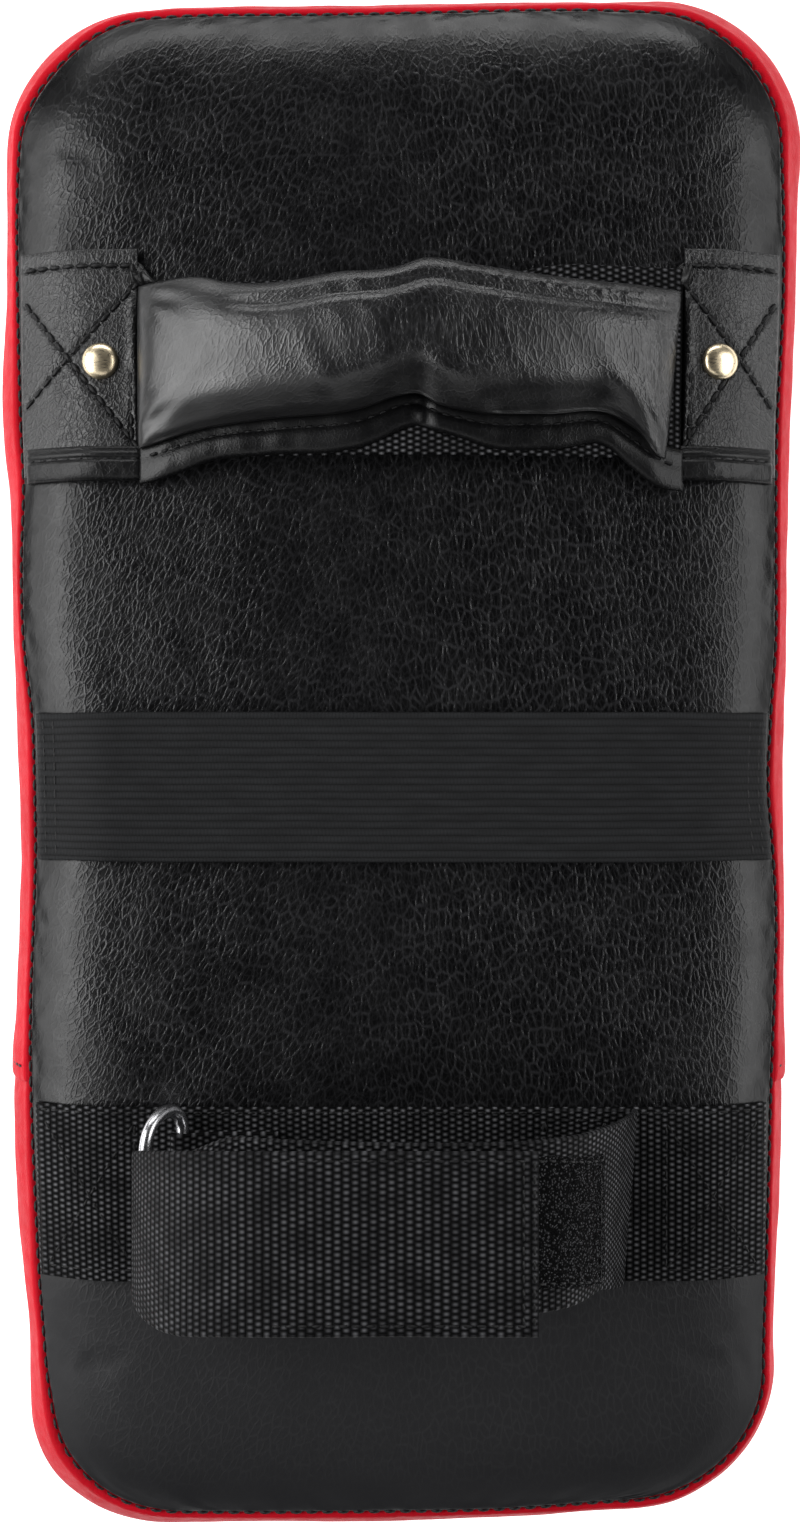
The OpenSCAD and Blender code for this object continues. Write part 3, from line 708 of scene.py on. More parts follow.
def back_panel():
    def height(inset):
        return PAD_T - 1.4 * smooth(inset / 30) - soft_crown(inset)

    obj, inset = panel_mesh("pad_back_panel", height, False, leather)
    p = coords(obj.data)
    held = (inset < 0.6) | (strap_footprint(p[:, 0], p[:, 1]) > 0.95)
    swell(obj, held, pressure=5.0, cap=1.9)
    obj = with_lip(obj, 1)
    subdivide(obj)
    p = coords(obj.data)
    inset = outline_facts(p[:, 0], p[:, 1])[0]
    inner = smooth(inset / 16)
    p[:, 2] += inner * (0.55 * wobble(p, (46, 70, 90), 1) + 0.22 * wobble(p, (13, 26, 40), 2))
    p[:, 2] += puckers(p, inset, 3)
    under = strap_footprint(p[:, 0], p[:, 1])
    low = back_z(p[:, 0], p[:, 1]) - 0.25
    pressed = np.minimum(p[:, 2], low) * under + p[:, 2] * (1 - under)
    p[:, 2] = np.where(inset > 0.5, pressed, p[:, 2])
    grain = smooth((inset - 1.5) / 15) * 0.8 + 0.2
    grain = grain * (1 - 0.45 * smooth((-131 - p[:, 1]) / 10))
    # the lower part of the back is matt, and its base colour is lifted there to a painted grey sheen
    matt_and_sheen = smooth((-112 - p[:, 1]) / 26)
    add_attribute(obj.data, "grain", grain)
    add_attribute(obj.data, "matt_and_sheen", matt_and_sheen)
    set_coords(obj, sewn(p))
    return finished(obj, "pad", "black_leather", "back_panel", "foam_back_layer", "foam_core_layer")


def striking_panel():
    def height(inset):
        return 1.6 * smooth(inset / 30) + crown_drop(inset)

    obj, inset = panel_mesh("pad_striking_panel", height, True, red)
    swell(obj, inset < 0.6, pressure=5.0, cap=2.4)
    obj = with_lip(obj, -1)
    subdivide(obj)
    p = coords(obj.data)
    inset = outline_facts(p[:, 0], p[:, 1])[0]
    p[:, 2] += puckers(p, inset, 5)
    p[:, 2] += smooth(inset / 16) * 0.35 * wobble(p, (50, 70, 90), 7)
    p[:, 2] = np.maximum(p[:, 2], 0.0)
    set_coords(obj, sewn(p))
    return finished(obj, "pad", "red_leather", "striking_panel", "foam_strike_layer")


def gusset_bulge(p, n):
    """How far the side stands out past the seam."""
    x, y = p[:, 0], p[:, 1]
    side = np.where(x < 0, 6.3 - 1.5 * np.tanh((y - 60) / 70) + SWELL_LEFT(y), 6.2 + SWELL_RIGHT(y))
    end = np.where(y < 0, 9.4 - 1.0 * smooth((x + 15) / 30), 8.9 - 1.6 * bump(x, -70, 18))
    extra = sum(corner_share(x, y, sx, sy) * out for (sx, sy), (_, _, out) in CORNERS.items())
    return side + (end - side) * n[:, 1] ** 2 + extra


def gusset_profile():
    """Rows of (share of the bulge, offset, height) from the back seam to the front one, a valley at each."""
    valley = [(0, -1.8, 3.2), (0, -0.5, 2.4), (0, 0.5, 1.9), (0.06, 1.2, 1.25), (0.16, 1.5, 1.9)]
    rows = [(share, offset, SEAM_BACK_Z - drop) for share, offset, drop in valley]
    high, low = SEAM_BACK_Z - 3.2, SEAM_FRONT_Z + 3.2
    for i in range(15):
        z = high + (low - high) * i / 14
        share = 1 - abs((z - MID_Z) / (MID_Z - SEAM_FRONT_Z)) ** 2.3
        rows.append((share, 1.5 * (1 - share), z))
    rows += [(s, o, PAD_T - z) for s, o, z in reversed(rows[:5])]
    return rows


def gusset(name, run, node, seed, lift):
    profile = gusset_profile()
    pts, nrm = (np.array(v) for v in zip(*run))
    bulge = gusset_bulge(pts, nrm)
    grid = []
    for share, offset, z in profile:
        out = share * bulge + offset + lift(pts) * (0.25 + 0.75 * share)
        grid.append(np.column_stack([pts + nrm * out[:, None], np.full(len(pts), z)]))
    grid = np.array(grid)
    rows, cols = grid.shape[:2]
    obj = mesh_object(name, grid.reshape(-1, 3), grid_faces(rows, cols, flip=True), None, red)
    held = np.zeros(rows * cols, bool)
    held[: 4 * cols] = held[-4 * cols:] = True
    swell(obj, held, pressure=3.0, cap=0.9)
    subdivide(obj)
    p = coords(obj.data)
    inset, normal = outline_facts(p[:, 0], p[:, 1])
    out = -inset
    middle = smooth(out / 4)
    push = middle * (0.5 * wobble(p, (38, 38, 24), seed) + 0.18 * wobble(p, (10, 10, 14), seed + 1))
    push += (1 - middle) * 0.22 * wobble(p, (4, 4, 8), seed + 2)
    p[:, :2] += normal * push[:, None]
    set_coords(obj, sewn(p))
    return finished(obj, "pad", "red_leather", node)


def split_outline():
    """The outline's stations above the gusset joints and below them, each as one run."""
    stations = outline_stations()
    upper = [s for s in stations if s[0][1] > JOINT_Y]
    first_upper = next(i for i, s in enumerate(stations) if s[0][1] > JOINT_Y)
    rest = stations[first_upper + len(upper):] + stations[:first_upper]
    right = (np.array([seam_x(JOINT_Y), JOINT_Y]), SIDE_N)
    left = (right[0] * [-1, 1], SIDE_N * [-1, 1])

    def shifted(s, dy):
        y = s[0][1] + dy
        return (np.array([math.copysign(seam_x(y), s[0][0]), y]), s[1])

    overlap = (-2.2, -1.6)
    upper = ([shifted(right, dy) for dy in overlap] + [right] + upper + [left]
             + [shifted(left, dy) for dy in reversed(overlap)])
    lower = [shifted(left, 3)] + rest + [shifted(right, 3)]
    return upper, lower


def pad_shell():
    back_panel()
    striking_panel()
    upper, lower = split_outline()

    def upper_lift(p):
        return 0.75 * smooth((JOINT_Y + 16 - p[:, 1]) / 14) * smooth((p[:, 1] - JOINT_Y + 2.6) / 1.2)

    def lower_lift(p):
        return -0.35 * smooth((p[:, 1] - JOINT_Y + 8) / 8)

    gusset("pad_gusset_upper", upper, "gusset_upper", 11, upper_lift)
    gusset("pad_gusset_lower", lower, "gusset_lower", 17, lower_lift)


def seam_line(z, out):
    """A closed line that follows the outline, with normals that lean outwards."""
    lean = 1 if z > MID_Z else -1
    stations = outline_stations(3.0)
    stations.append(stations[0])
    points = sewn([(*(p + n * out), z) for p, n in stations])
    ups = [np.array([n[0] * 0.55, n[1] * 0.55, lean]) for _, n in stations]
    return [(q, unit(up)) for q, up in zip(points, ups)]


def pad_seams():
    """The seams round both faces, and the joints between the two gussets."""
    for face, z in (("back", SEAM_BACK_Z - 0.65), ("front", SEAM_FRONT_Z + 0.65)):
        stitches(f"pad_{face}_seam_stitches", [seam_line(z, 0.75)], "pad", [f"{face}_seam_thread"],
                 pitch=4.0, length=3.1, width=0.9, height=0.6)
    lines = []
    for side in (-1, 1):
        line = []
        y = JOINT_Y + 1.6
        base = np.array([[side * seam_x(y), y]])
        n = SIDE_N * [side, 1]
        for share, offset, z in gusset_profile()[5:-5]:
            out = share * gusset_bulge(base, n[None])[0] + offset + 0.9
            line.append((sewn([(*(base[0] + n * out), z)])[0], np.array([n[0], 0, 0.1])))
        lines.append(line)
    stitches("pad_gusset_joint_stitches", lines, "pad", ["gusset_joint_stitching"],
             pitch=3.4, length=2.6, width=0.7, height=0.4, sink=0.35)


# ---------------------------------------------------------------- sheets that lie on the panel
def spaced(lo, hi, step, edge=(0, 0.12, 0.35, 0.75, 1.4)):
    """Places from lo to hi, close together at both ends so that an edge can be rounded."""
    inner = np.linspace(lo + edge[-1], hi - edge[-1], max(int((hi - lo) / step), 3))
    return np.concatenate([[lo + e for e in edge[:-1]], inner, [hi - e for e in reversed(edge[:-1])]])


def lay(name, xs, ys, low, thickness, material, shape=None, edge_r=0.8, grain=1.0, plan=None):
    """A sheet with rounded edges over a grid in plan, low(x, y) its underside; shape(x, y) adds to its top.
    plan(x, y) moves the finished sheet's points sideways."""
    gx, gy = np.meshgrid(xs, ys)
    x, y = gx.ravel(), gy.ravel()
    d = np.minimum(np.minimum(x - xs[0], xs[-1] - x), np.minimum(y - ys[0], ys[-1] - y))
    r = np.clip(1 - d / edge_r, 0, 1)
    top = thickness - min(thickness * 0.5, edge_r) * (1 - np.sqrt(1 - r**2))
    base = low(x, y)
    extra = shape(x, y) if shape else 0
    px, py = plan(x, y) if plan else (x, y)
    upper = np.column_stack([px, py, base + top + extra])
    under = np.column_stack([px, py, base + np.where(d < 0.01, thickness * 0.35, 0.0) + np.minimum(extra, 0)])
    rows, cols = len(ys), len(xs)
    count = rows * cols
    faces = grid_faces(rows, cols)
    faces += [tuple(count + i for i in reversed(f)) for f in faces]
    ring = boundary_of(rows, cols)
    faces += [(ring[(i + 1) % len(ring)], ring[i], count + ring[i], count + ring[(i + 1) % len(ring)])
              for i in range(len(ring))]
    uv = np.tile(np.column_stack([x, y]), (2, 1))
    values = np.full(2 * count, grain) if np.isscalar(grain) else np.tile(grain(x, y), 2)
    return mesh_object(name, sewn(np.concatenate([upper, under])), faces, uv, material, {"grain": values})


def on_panel(lift):
    return lambda x, y: back_z(x, y) + lift


def edge_x(y, inset=0.6):
    return seam_x(y) - inset


def panel_z(x, y):
    return float(back_z(x, y)[0])


def between(a, b, steps):
    return [(a[0] + (b[0] - a[0]) * i / steps, a[1] + (b[1] - a[1]) * i / steps) for i in range(steps + 1)]


def panel_seam(a, b, lift, steps=24, tilted=True):
    """Stitching from a to b, lift above the back panel; tilted stitches lean with the panel's crown."""
    line = []
    for x, y in between(a, b, steps):
        slope = panel_z(x + 0.5, y) - panel_z(x - 0.5, y) if tilted else 0.0
        line.append((sewn([(x, y, panel_z(x, y) + lift)])[0], unit(np.array([-slope, 0, 1.0]))))
    return line


def level_seam(a, b, z, steps):
    """Straight stitching from a to b at one height."""
    return [(np.array([x, y, z]), UP) for x, y in between(a, b, steps)]


def box_corners(x, y, half):
    return (x[0], y - half), (x[1], y - half), (x[1], y + half), (x[0], y + half)


# ---------------------------------------------------------------- grip patches
def patch_seams(side):
    """Where each patch is sewn: a cross from corner to corner, its hem and a line beside the fold."""
    lo, hi = PATCH_Y
    fold, out = GRIP_X + side * GRIP_HALF, side * edge_x(110, 1.4)
    return [((out, hi - 12.5), (fold - side * 0.5, lo + 6)), ((out, lo + 17.5), (fold - side * 1.0, hi - 8)),
            ((out, hi - 4.4), (fold + side * 1.0, hi - 4.4)),
            ((fold + side * 1.6, hi - 31), (fold + side * 1.6, lo + 5))]


def line_distance(x, y, a, b):
    run = np.subtract(b, a)
    t = np.clip(((x - a[0]) * run[0] + (y - a[1]) * run[1]) / (run @ run), 0, 1)
    return np.hypot(x - a[0] - run[0] * t, y - a[1] - run[1] * t)


def grip_patches():
    lo, hi = PATCH_Y
    for side, label in ((-1, "left"), (1, "right")):
        fold = GRIP_X + side * GRIP_HALF
        outer = side * edge_x(hi, 0.8)
        xs = spaced(*sorted((fold, outer)), 0.5)
        ys = spaced(lo, hi, 0.6)

        def shape(x, y, side=side, fold=fold):
            from_fold = np.abs(x - fold)
            rim = 0.7 * bump(from_fold, 1.2, 1.3) * smooth((120 - y) / 6) * smooth((y - 84) / 6)
            soft = 0.35 * wobble(flat(x, y), (9, 14, 9), 21 + side)
            dish = -0.6 * bump(np.hypot(x - (fold + side * 9.6), y - 101), 0, 6.5)
            sunk = sum(bump(line_distance(x, y, a, b), 0, 0.6) for a, b in patch_seams(side))
            return rim + soft * smooth(from_fold / 6) + dish - 0.55 * np.minimum(sunk, 1)

        obj = lay("grip_patch_" + label, xs, ys, on_panel(0.1), 1.6, leather_patch, shape,
                  grain=lambda x, y: 0.6 + 0.4 * smooth((edge_x(y) - np.abs(x) - 3) / 10))
        finished(obj, "pad", "black_leather", "handle_patch_" + label)

    lines = [panel_seam(a, b, 1.7) for side in (-1, 1) for a, b in patch_seams(side)]
    stitches("grip_patch_stitches", lines, "pad", ["patch_stitching"], pitch=3.5, length=3.3, width=1.05)


def patch_bindings():
    """The rolled bindings over the lower edges of the patches."""
    edge = PATCH_Y[0]
    low, high, seam_y = edge - 1.6, edge + 7.2, edge + 3.9

    def roll(x, y):
        fat = 0.9 * np.sin(np.pi * np.clip((y - low) / (high - low), 0, 1)) ** 0.6
        groove = -0.75 * bump(y, seam_y, 0.55) - 0.4 * bump(y, edge + 6.0, 0.5)
        nibble = 0.18 * wobble(flat(x, y), (2.2, 2.6, 4), 31)
        return fat + groove + nibble * smooth((edge + 3.6 - y) / 1.5)

    lines = []
    for side, label, nodes in ((-1, "left", ["patch_bindings"]), (1, "right", [])):
        fold = GRIP_X + side * (GRIP_HALF - 1.0)
        outer = side * edge_x(edge, 0.8)
        xs = spaced(*sorted((fold, outer)), 0.7)
        obj = lay("grip_patch_binding_" + label, xs, spaced(low, high, 0.5), on_panel(0.6), 1.5, leather_trim,
                  roll, edge_r=1.2, grain=0.6)
        finished(obj, "pad", "black_leather", *nodes)
        lines.append(panel_seam((outer, seam_y), (fold, seam_y), 2.2))
    stitches("grip_binding_stitches", lines, "pad", pitch=3.2, length=2.5, width=0.7)


def rivets():
    """Two domed caps that tilt with the panel under them. The profile is (radius, height)."""
    profile = [(0.0, 2.2), (1.1, 2.15), (2.2, 1.98), (3.1, 1.70), (3.8, 1.34), (4.25, 0.94), (4.52, 0.5),
               (4.6, 0.2), (4.5, -0.1), (3.6, -0.3), (0.0, -0.3)]
    ring = 64
    cap = grid_faces(len(profile), ring, wrap=True, flip=True)
    points, faces = [], []
    for x, y in RIVETS:
        q = sewn([(x, y, 0)])[0]
        z = panel_z(x, y) + 1.35
        tilt = (panel_z(x + 1, y) - panel_z(x - 1, y)) / 2
        faces += moved_on(cap, len(points))
        for r, h in profile:
            for i in range(ring):
                a = 2 * math.pi * i / ring
                dx = max(r, 0.01) * math.cos(a)
                points.append((q[0] + dx, q[1] + max(r, 0.01) * math.sin(a), z + h + tilt * dx))
    obj = mesh_object("grip_rivet_caps", points, faces, None, brass)
    finished(obj, "pad", "brass", "rivet_caps")


# ---------------------------------------------------------------- grip roll
# The edges of the roll and of the bound edge under it, along the grip: (x, y).
ROLL_TOP = curve([(-70, 118.6), (-61.6, 119.4), (-49, 119.9), (-43, 118.4), (-36, 117.7), (-29, 117.8),
                  (-16, 119.6), (0, 120.9), (5, 122.6), (19, 121.4), (31, 119.9), (44, 118.9), (57, 118.3),
                  (69, 117.9), (74, 118)])
ROLL_LOW = curve([(-70, 77.6), (-63.5, 78.8), (-51, 82), (-32.5, 84.3), (-9.4, 86.4), (0.5, 89.6),
                  (4.4, 90.0), (9, 87.6), (17.5, 85.7), (36, 85.5), (53.2, 85.5), (57.6, 83), (67.7, 76.6),
                  (74, 75.6)])
FLANGE_LOW = curve([(-70, 70.2), (-61.5, 70.5), (-55.6, 72.4), (-45.8, 75.6), (-32.5, 76.4), (-6.2, 79.3),
                    (0.5, 82.5), (4.4, 83.2), (9, 81.9), (14.8, 80.3), (21.4, 78.2), (37, 77.8),
                    (53.2, 77.8), (57.1, 74.4), (64.3, 69.4), (70.9, 68.2), (74, 68.2)])


def grip_u(x):
    return np.abs(x - GRIP_X) / GRIP_HALF


def grip_under(x):
    return PAD_T + 0.6 + 9 * (1 - np.clip(grip_u(x), 0, 1) ** 1.7)


def keep_side(obj, name, middle, side):
    """A copy of obj that keeps the faces on one side of middle, with the whole mesh's normals."""
    mesh = obj.data
    mesh.update()
    normals = read(mesh.vertices, "normal", 3)
    p = coords(mesh)
    faces = [tuple(f.vertices) for f in mesh.polygons
             if side * (np.mean([p[v, 0] for v in f.vertices]) - middle) > 0]
    used = sorted({v for f in faces for v in f})
    index = {v: i for i, v in enumerate(used)}
    uv = np.zeros((len(mesh.vertices), 2), np.float32)
    uv[read(mesh.loops, "vertex_index", kind=np.int32)] = read(mesh.uv_layers[0].data, "uv", 2)
    grain = {"grain": read(mesh.attributes["grain"].data, "value")[used]}
    faces = [tuple(index[v] for v in f) for f in faces]
    half = mesh_object(name, p[used], faces, uv[used], mesh.materials[0], grain)
    half.data.normals_split_custom_set_from_vertices([tuple(normals[v]) for v in used])
    return half


def bend(body, middle, side, start_x, end_x):
    """The pad, body and two places, start_x and end_x from middle towards side, at the panel's height, in
    metres.
    """
    z = PAD_T * MM
    return "pad", body, ((middle + side * start_x) * MM, 0, z), ((middle + side * end_x) * MM, 0, z)


def in_halves(obj, middle, slot, nodes):
    """Splits a piece at its middle into a left and a right half; the left half stands for its CAD nodes."""
    name = obj.name
    obj.name = name + "_whole"
    for side, label in ((-1, "left"), (1, "right")):
        half = keep_side(obj, f"{name}_{label}", middle, side)
        finished(half, None, slot, *(nodes if side < 0 else []))
        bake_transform(half)
    bpy.data.objects.remove(obj)


def roll_height(x):
    """Half the roll's thickness: full in the middle, thinner towards the ends and closed at both."""
    u = np.clip(grip_u(x), 0, 1)
    return 1.2 + 6.8 * np.sqrt(np.clip(1 - u**16, 0, 1)) * (1 - 0.50 * u**1.8)


def roll_grid(steps, sides):
    """Rings of points round the roll, with UVs in millimetres along and round it, and each point's angle."""
    t = np.linspace(-1, 1, steps)
    a = np.arange(sides) * 2 * math.pi / sides
    c, s = np.cos(a), np.sin(a)
    # a squarer section than an ellipse, flatter underneath
    cy = np.sign(c) * np.abs(c) ** 0.72
    sz = np.sign(s) * np.abs(s) ** 0.84
    sz = np.where(sz > 0, sz, 0.9 * sz)
    round_uv = 24 * np.where(a > math.pi, a - 2 * math.pi, a) - 30
    points, uv = [], []
    for x in GRIP_X + (GRIP_HALF - 0.4) * (0.7 * t + 0.3 * np.sin(t * math.pi / 2)):
        y_low, y_top = ROLL_LOW(x), ROLL_TOP(x)
        half_t = roll_height(x)
        along = np.full(sides, x)
        y = (y_low + y_top) / 2 + (y_top - y_low) / 2 * cy
        points.append(np.column_stack([along, y, grip_under(x) + 1.5 + half_t * 0.92 + half_t * sz]))
        uv.append(np.column_stack([along, round_uv]))
    return np.concatenate(points), np.concatenate(uv), np.tile(a, steps)


def grip_roll():
    steps, sides = 231, 88
    p, uv, angle = roll_grid(steps, sides)
    xs = p[:, 0].copy()
    top_edge, low_edge = ROLL_TOP(xs), ROLL_LOW(xs)
    top = smooth(np.sin(angle) * 2 + 0.2)
    from_top = top_edge - p[:, 1]
    from_low = p[:, 1] - low_edge
    from_left, from_right = xs - (GRIP_X - GRIP_HALF), GRIP_X + GRIP_HALF - xs
    ends = smooth(np.minimum(from_left, from_right) / 7)
    # a rolled hem along the top edge, with a groove under it; it runs out towards the left end
    hem = smooth((xs + 47) / 14) * ends * top
    p[:, 2] += hem * (0.75 * bump(from_top, 2.6, 1.7) - 1.15 * bump(from_top, 6.0, 1.25))
    p[:, 2] += hem * bump(from_top, 2.6, 1.9) * smooth((xs - 2) / 12) * 0.55 * wobble(p, (1.7, 1.9, 4), 45)
    # the face tips over a soft edge above the flange
    p[:, 2] -= top * ends * 1.5 * smooth((9.5 - from_low) / 7)
    # the right end stands back from its patch along a slant, and the left end a little all the way
    p[:, 0] -= smooth(1 - from_right / 14) * (0.9 + 0.095 * np.clip(from_top, 0, 44))
    p[:, 0] += smooth(1 - from_left / 10) * 0.2
    # folds run from the corners into the face: (corner, slope, reach, depth)
    folds = ((top_edge - 3, -0.30, 17, 0.5), (top_edge - 7, -0.85, 13, 0.45),
             (low_edge + 4, 0.35, 15, 0.6), (low_edge + 8, 0.9, 11, 0.35))
    for near in (from_left, from_right):
        for corner, slope, reach, depth in folds:
            fold = bump(p[:, 1] - corner - slope * near, 0, 1.5 + 0.06 * near)
            p[:, 2] -= top * depth * fold * smooth((reach - near) / 10) * smooth(near / 3)
    # long soft creases, steeper in the right half
    lean = np.column_stack([xs * 0.9 + p[:, 1] * 0.45, p[:, 1] * 0.5 - xs * 0.25, 0 * xs])
    crease = wobble(lean, (5.5, 15, 9), 41)
    middle = smooth((from_left - 24) / 25)
    p[:, 2] += top * ends * (0.50 * wobble(p, (26, 17, 18), 42) + 0.36 * crease * middle)
    # the lower edge is pinched up where the flange is notched, and hollow beside it on the right
    p[:, 2] -= top * 1.8 * bump(xs, 4.5, 5.0) * bump(from_low, 2, 6)
    p[:, 2] -= top * 1.6 * smooth((xs - 18) / 8) * smooth((56 - xs) / 8) * bump(from_low, 1.5, 3.0)
    smoothed = smooth((from_left - 16) / 26) * (1 - 0.75 * bump(xs - 44, 0, 13) * bump(p[:, 1], 104, 10))
    grain = (0.30 + 0.65 * smoothed) * (0.35 + 0.65 * smooth((from_low - 5) / 6))
    obj = mesh_object("grip_roll", p, tube_faces(steps, sides), uv, leather_grip, {"grain": grain})
    in_halves(obj, GRIP_X, "black_leather", ["grip_cover", "grip_core"])


def flange_y(x, t):
    """From the bound edge's lower side, 0, to the roll that it is sewn to, 1."""
    low, high = FLANGE_LOW(x), ROLL_LOW(x) + 1.2
    return low + (high - low) * t


def grip_flange():
    """The bound edge under the roll: a folded strip that waves along the roll's lower side. Its section is
    (place across it, height)."""
    steps = 211
    section = [(0.0, 0.2), (-0.03, 0.8), (0.02, 1.4), (0.10, 1.85), (0.24, 2.15), (0.42, 2.15), (0.56, 1.95),
               (0.63, 1.68), (0.67, 1.58), (0.71, 1.68), (0.80, 1.92), (0.92, 1.95), (1.02, 1.7), (1.12, 1.2),
               (1.15, 0.2), (0.5, -0.1)]
    points, uv = [], []
    for x in np.linspace(GRIP_X - GRIP_HALF + 0.8, GRIP_X + GRIP_HALF - 0.8, steps):
        ends = smooth((GRIP_HALF - abs(x - GRIP_X)) / 9)
        notch = (1.0 - 0.4 * bump(x, 6.3, 2.0)) * (0.45 + 0.55 * ends)
        points += [(x, flange_y(x, t), grip_under(x) + 1.4 + h * notch) for t, h in section]
        uv += [(x, t * 9) for t, _ in section]
    p = np.array(points)
    pleat = wobble(flat(p[:, 0], p[:, 1] * 0.3), (4.2, 6, 5), 51)
    p[:, 2] += 0.22 * pleat * smooth((p[:, 2] - grip_under(p[:, 0]) - 1.6) / 1.0)
    p[:, 1] += 0.25 * wobble(p, (6, 9, 9), 52)
    faces = tube_faces(steps, len(section), flip=True)
    obj = mesh_object("grip_flange", p, faces, uv, leather_trim, {"grain": np.full(len(p), 0.5)})
    start_x, end_x = 64, 45
    in_halves(obj, GRIP_X, "black_leather", ["grip_binding"])
    for side, label, lo, hi in ((-1, "left", GRIP_X - GRIP_HALF + 3, 3.2),
                                (1, "right", 7.0, GRIP_X + GRIP_HALF - 3)):
        line = [(np.array([x, flange_y(x, 0.67), grip_under(x) + 3.0]), UP) for x in np.linspace(lo, hi, 60)]
        stitches("grip_flange_stitches_" + label, [line], None, ["grip_stitching"] if side < 0 else [],
                 pitch=3.0, length=2.3, width=0.7, blend=bend("grip", GRIP_X, side, start_x, end_x))


def grip_webbing():
    xs = np.linspace(GRIP_X - GRIP_HALF + 0.5, GRIP_X + GRIP_HALF - 0.5, 111)
    ys = spaced(76.2, 125.0, 1.6)

    def plan(x, y):
        return x, y - 5.0 * (1 - 0.85 * smooth((x - 15) / 30)) * smooth((y - 100) / 20)

    obj = lay("grip_webbing_strip", xs, ys, lambda x, y: grip_under(x), 1.4, webbing, plan=plan)
    in_halves(obj, GRIP_X, "webbing", ["grip_webbing"])


def fold_corners():
    """The small turned corners where the cover tucks under the upper end of each patch."""
    for side, label in ((-1, "left"), (1, "right")):
        fold = GRIP_X + side * GRIP_HALF
        n = 14
        points = []
        for i in range(n):
            for j in range(n):
                s, t = i / (n - 1), j / (n - 1)
                x = fold + side * 1.5 - side * 9.0 * s * (1 - 0.15 * t)
                y = 119.6 + (7.2 * (1 - s) + 0.6) * t
                z = PAD_T + 1.0 + 1.5 * math.sin(math.pi * min(t * 1.1, 1)) * (1 - s * 0.6)
                points.append((x, y, z + 0.5 * math.sin(s * 9 + t * 4)))
        faces = grid_faces(n, n, flip=side < 0)
        obj = mesh_object("grip_fold_" + label, points, faces, [(q[0], q[1]) for q in points], leather_trim,
                          {"grain": np.full(n * n, 0.6)})
        solid = obj.modifiers.new("thick", "SOLIDIFY")
        solid.thickness = 1.0 * MM
        apply_modifiers(obj)
        finished(obj, "pad", "black_leather")


def grip():
    grip_patches()
    patch_bindings()
    rivets()
    grip_roll()
    grip_flange()
    grip_webbing()
    fold_corners()


# ---------------------------------------------------------------- elastic band and base webbing
def elastic_band():
    """The band with its two sewn ends, built as one piece and split at its middle."""
    ys = spaced(ELASTIC_Y - ELASTIC_W / 2, ELASTIC_Y + ELASTIC_W / 2, 1.2, (0, 0.1, 0.3, 0.6, 1.0))
    ends = edge_x(ELASTIC_Y, 0.4)
    xs = np.linspace(-ends, ends, 151)

    def shape(x, y):
        return 0.22 * wobble(flat(x, y), (60, 26, 9), 61) + 0.05 * wobble(flat(x, y), (9, 5, 9), 62)

    def plan(x, y):
        inner = 1 - 0.018 * smooth((np.abs(x) - 62) / 30)
        return x, ELASTIC_Y + (y - ELASTIC_Y) * inner + 0.25 * wobble(flat(x, 0 * x), (50, 9, 9), 63)

    obj = lay("elastic_sleeve", xs, ys, on_panel(0.15), 1.5, elastic, shape, edge_r=0.6, plan=plan)
    in_halves(obj, 0, "elastic", ["elastic_band", "elastic_end_left", "elastic_end_right"])
    lines = []
    for side, inset in ((-1, 2.6), (-1, 5.4), (1, 2.6), (1, 5.4)):
        places = [(side * edge_x(y, inset), y) for y in np.linspace(ELASTIC_Y - 17.5, ELASTIC_Y + 17.5, 16)]
        points = sewn([(x, y, panel_z(x, y) + 1.7) for x, y in places])
        lines.append([(q, np.array([side * 0.4, 0, 0.9])) for q in points])
    stitches("elastic_end_stitches", lines, "pad", ["elastic_stitching"], pitch=3.2, length=2.6, width=0.6,
             height=0.3)


def base_webbing():
    half = WEBBING_W / 2
    ys = spaced(STRAP_Y - half, STRAP_Y + half, 1.1, (0, 0.15, 0.4, 0.8, 1.3))
    ends = edge_x(STRAP_Y, 0.4)
    xs = np.linspace(-ends, ends, 160)

    def shape(x, y):
        return 0.18 * wobble(flat(x, y), (34, 22, 9), 71)

    obj = lay("base_webbing_strip", xs, ys, on_panel(0.05), 1.7, webbing, shape, edge_r=0.8)
    finished(obj, "pad", "webbing", "base_webbing")

    def seam(a, b, steps=30):
        return panel_seam(a, b, 1.75, steps, tilted=False)

    lines = [seam((-ends + 1, STRAP_Y + half - 1.4), (ends - 1, STRAP_Y + half - 1.4), 90)]
    for side in (-1, 1):
        a, b = side * 67, side * (ends - 2.5)
        lo, hi = STRAP_Y - half + 3, STRAP_Y + half - 4
        lines += [seam((a, lo), (b, hi)), seam((a, hi), (b, lo)),
                  seam((a, lo), (a, hi)), seam((a, lo), (b, lo))]
    stitches("base_webbing_stitches", lines, "pad", ["base_stitching"], pitch=3.4, length=2.7, width=0.7)


# ---------------------------------------------------------------- arm strap
BASE_TOP = PAD_T + 0.3 + WEB_T
FOOT_Z = BASE_TOP + 0.1 + WEB_T / 2
FOOT_X = (34.0, 56.5)
FOLD_R = 1.3
RISE, FALL = 108, 72
WRAP_R = 2.5
RING_DEPTH, RING_LEAN = 14.4, 33
KEEPER_BAR = np.array([-54.5, 81.08])
STRAP_BAR = KEEPER_BAR + RING_DEPTH * direction(90 + RING_LEAN)
CREST = np.array([8.0, PAD_T + 51.5])
ROOT = np.array([FOOT_X[1], FOOT_Z + FOLD_R]) + FOLD_R * direction(RISE - 90)
RING_IN = STRAP_BAR + WRAP_R * direction(FALL - 90)
RIGHT_FLANK = [ROOT, ROOT + 24 * direction(RISE), CREST + [36, 0], CREST]
LEFT_FLANK = [CREST, CREST - [40, 0], RING_IN + 26 * direction(FALL), RING_IN]
TAIL_OFFSET = 2 * WRAP_R
# Places along the arch: 0 at the root, 1 at the crest, 2 at the ring.
LOOP_ENDS = (5 / 12, 19 / 12)
HOOK_ENDS = (10 / 12, 16 / 12)
TAIL_TIP = 9.1 / 12
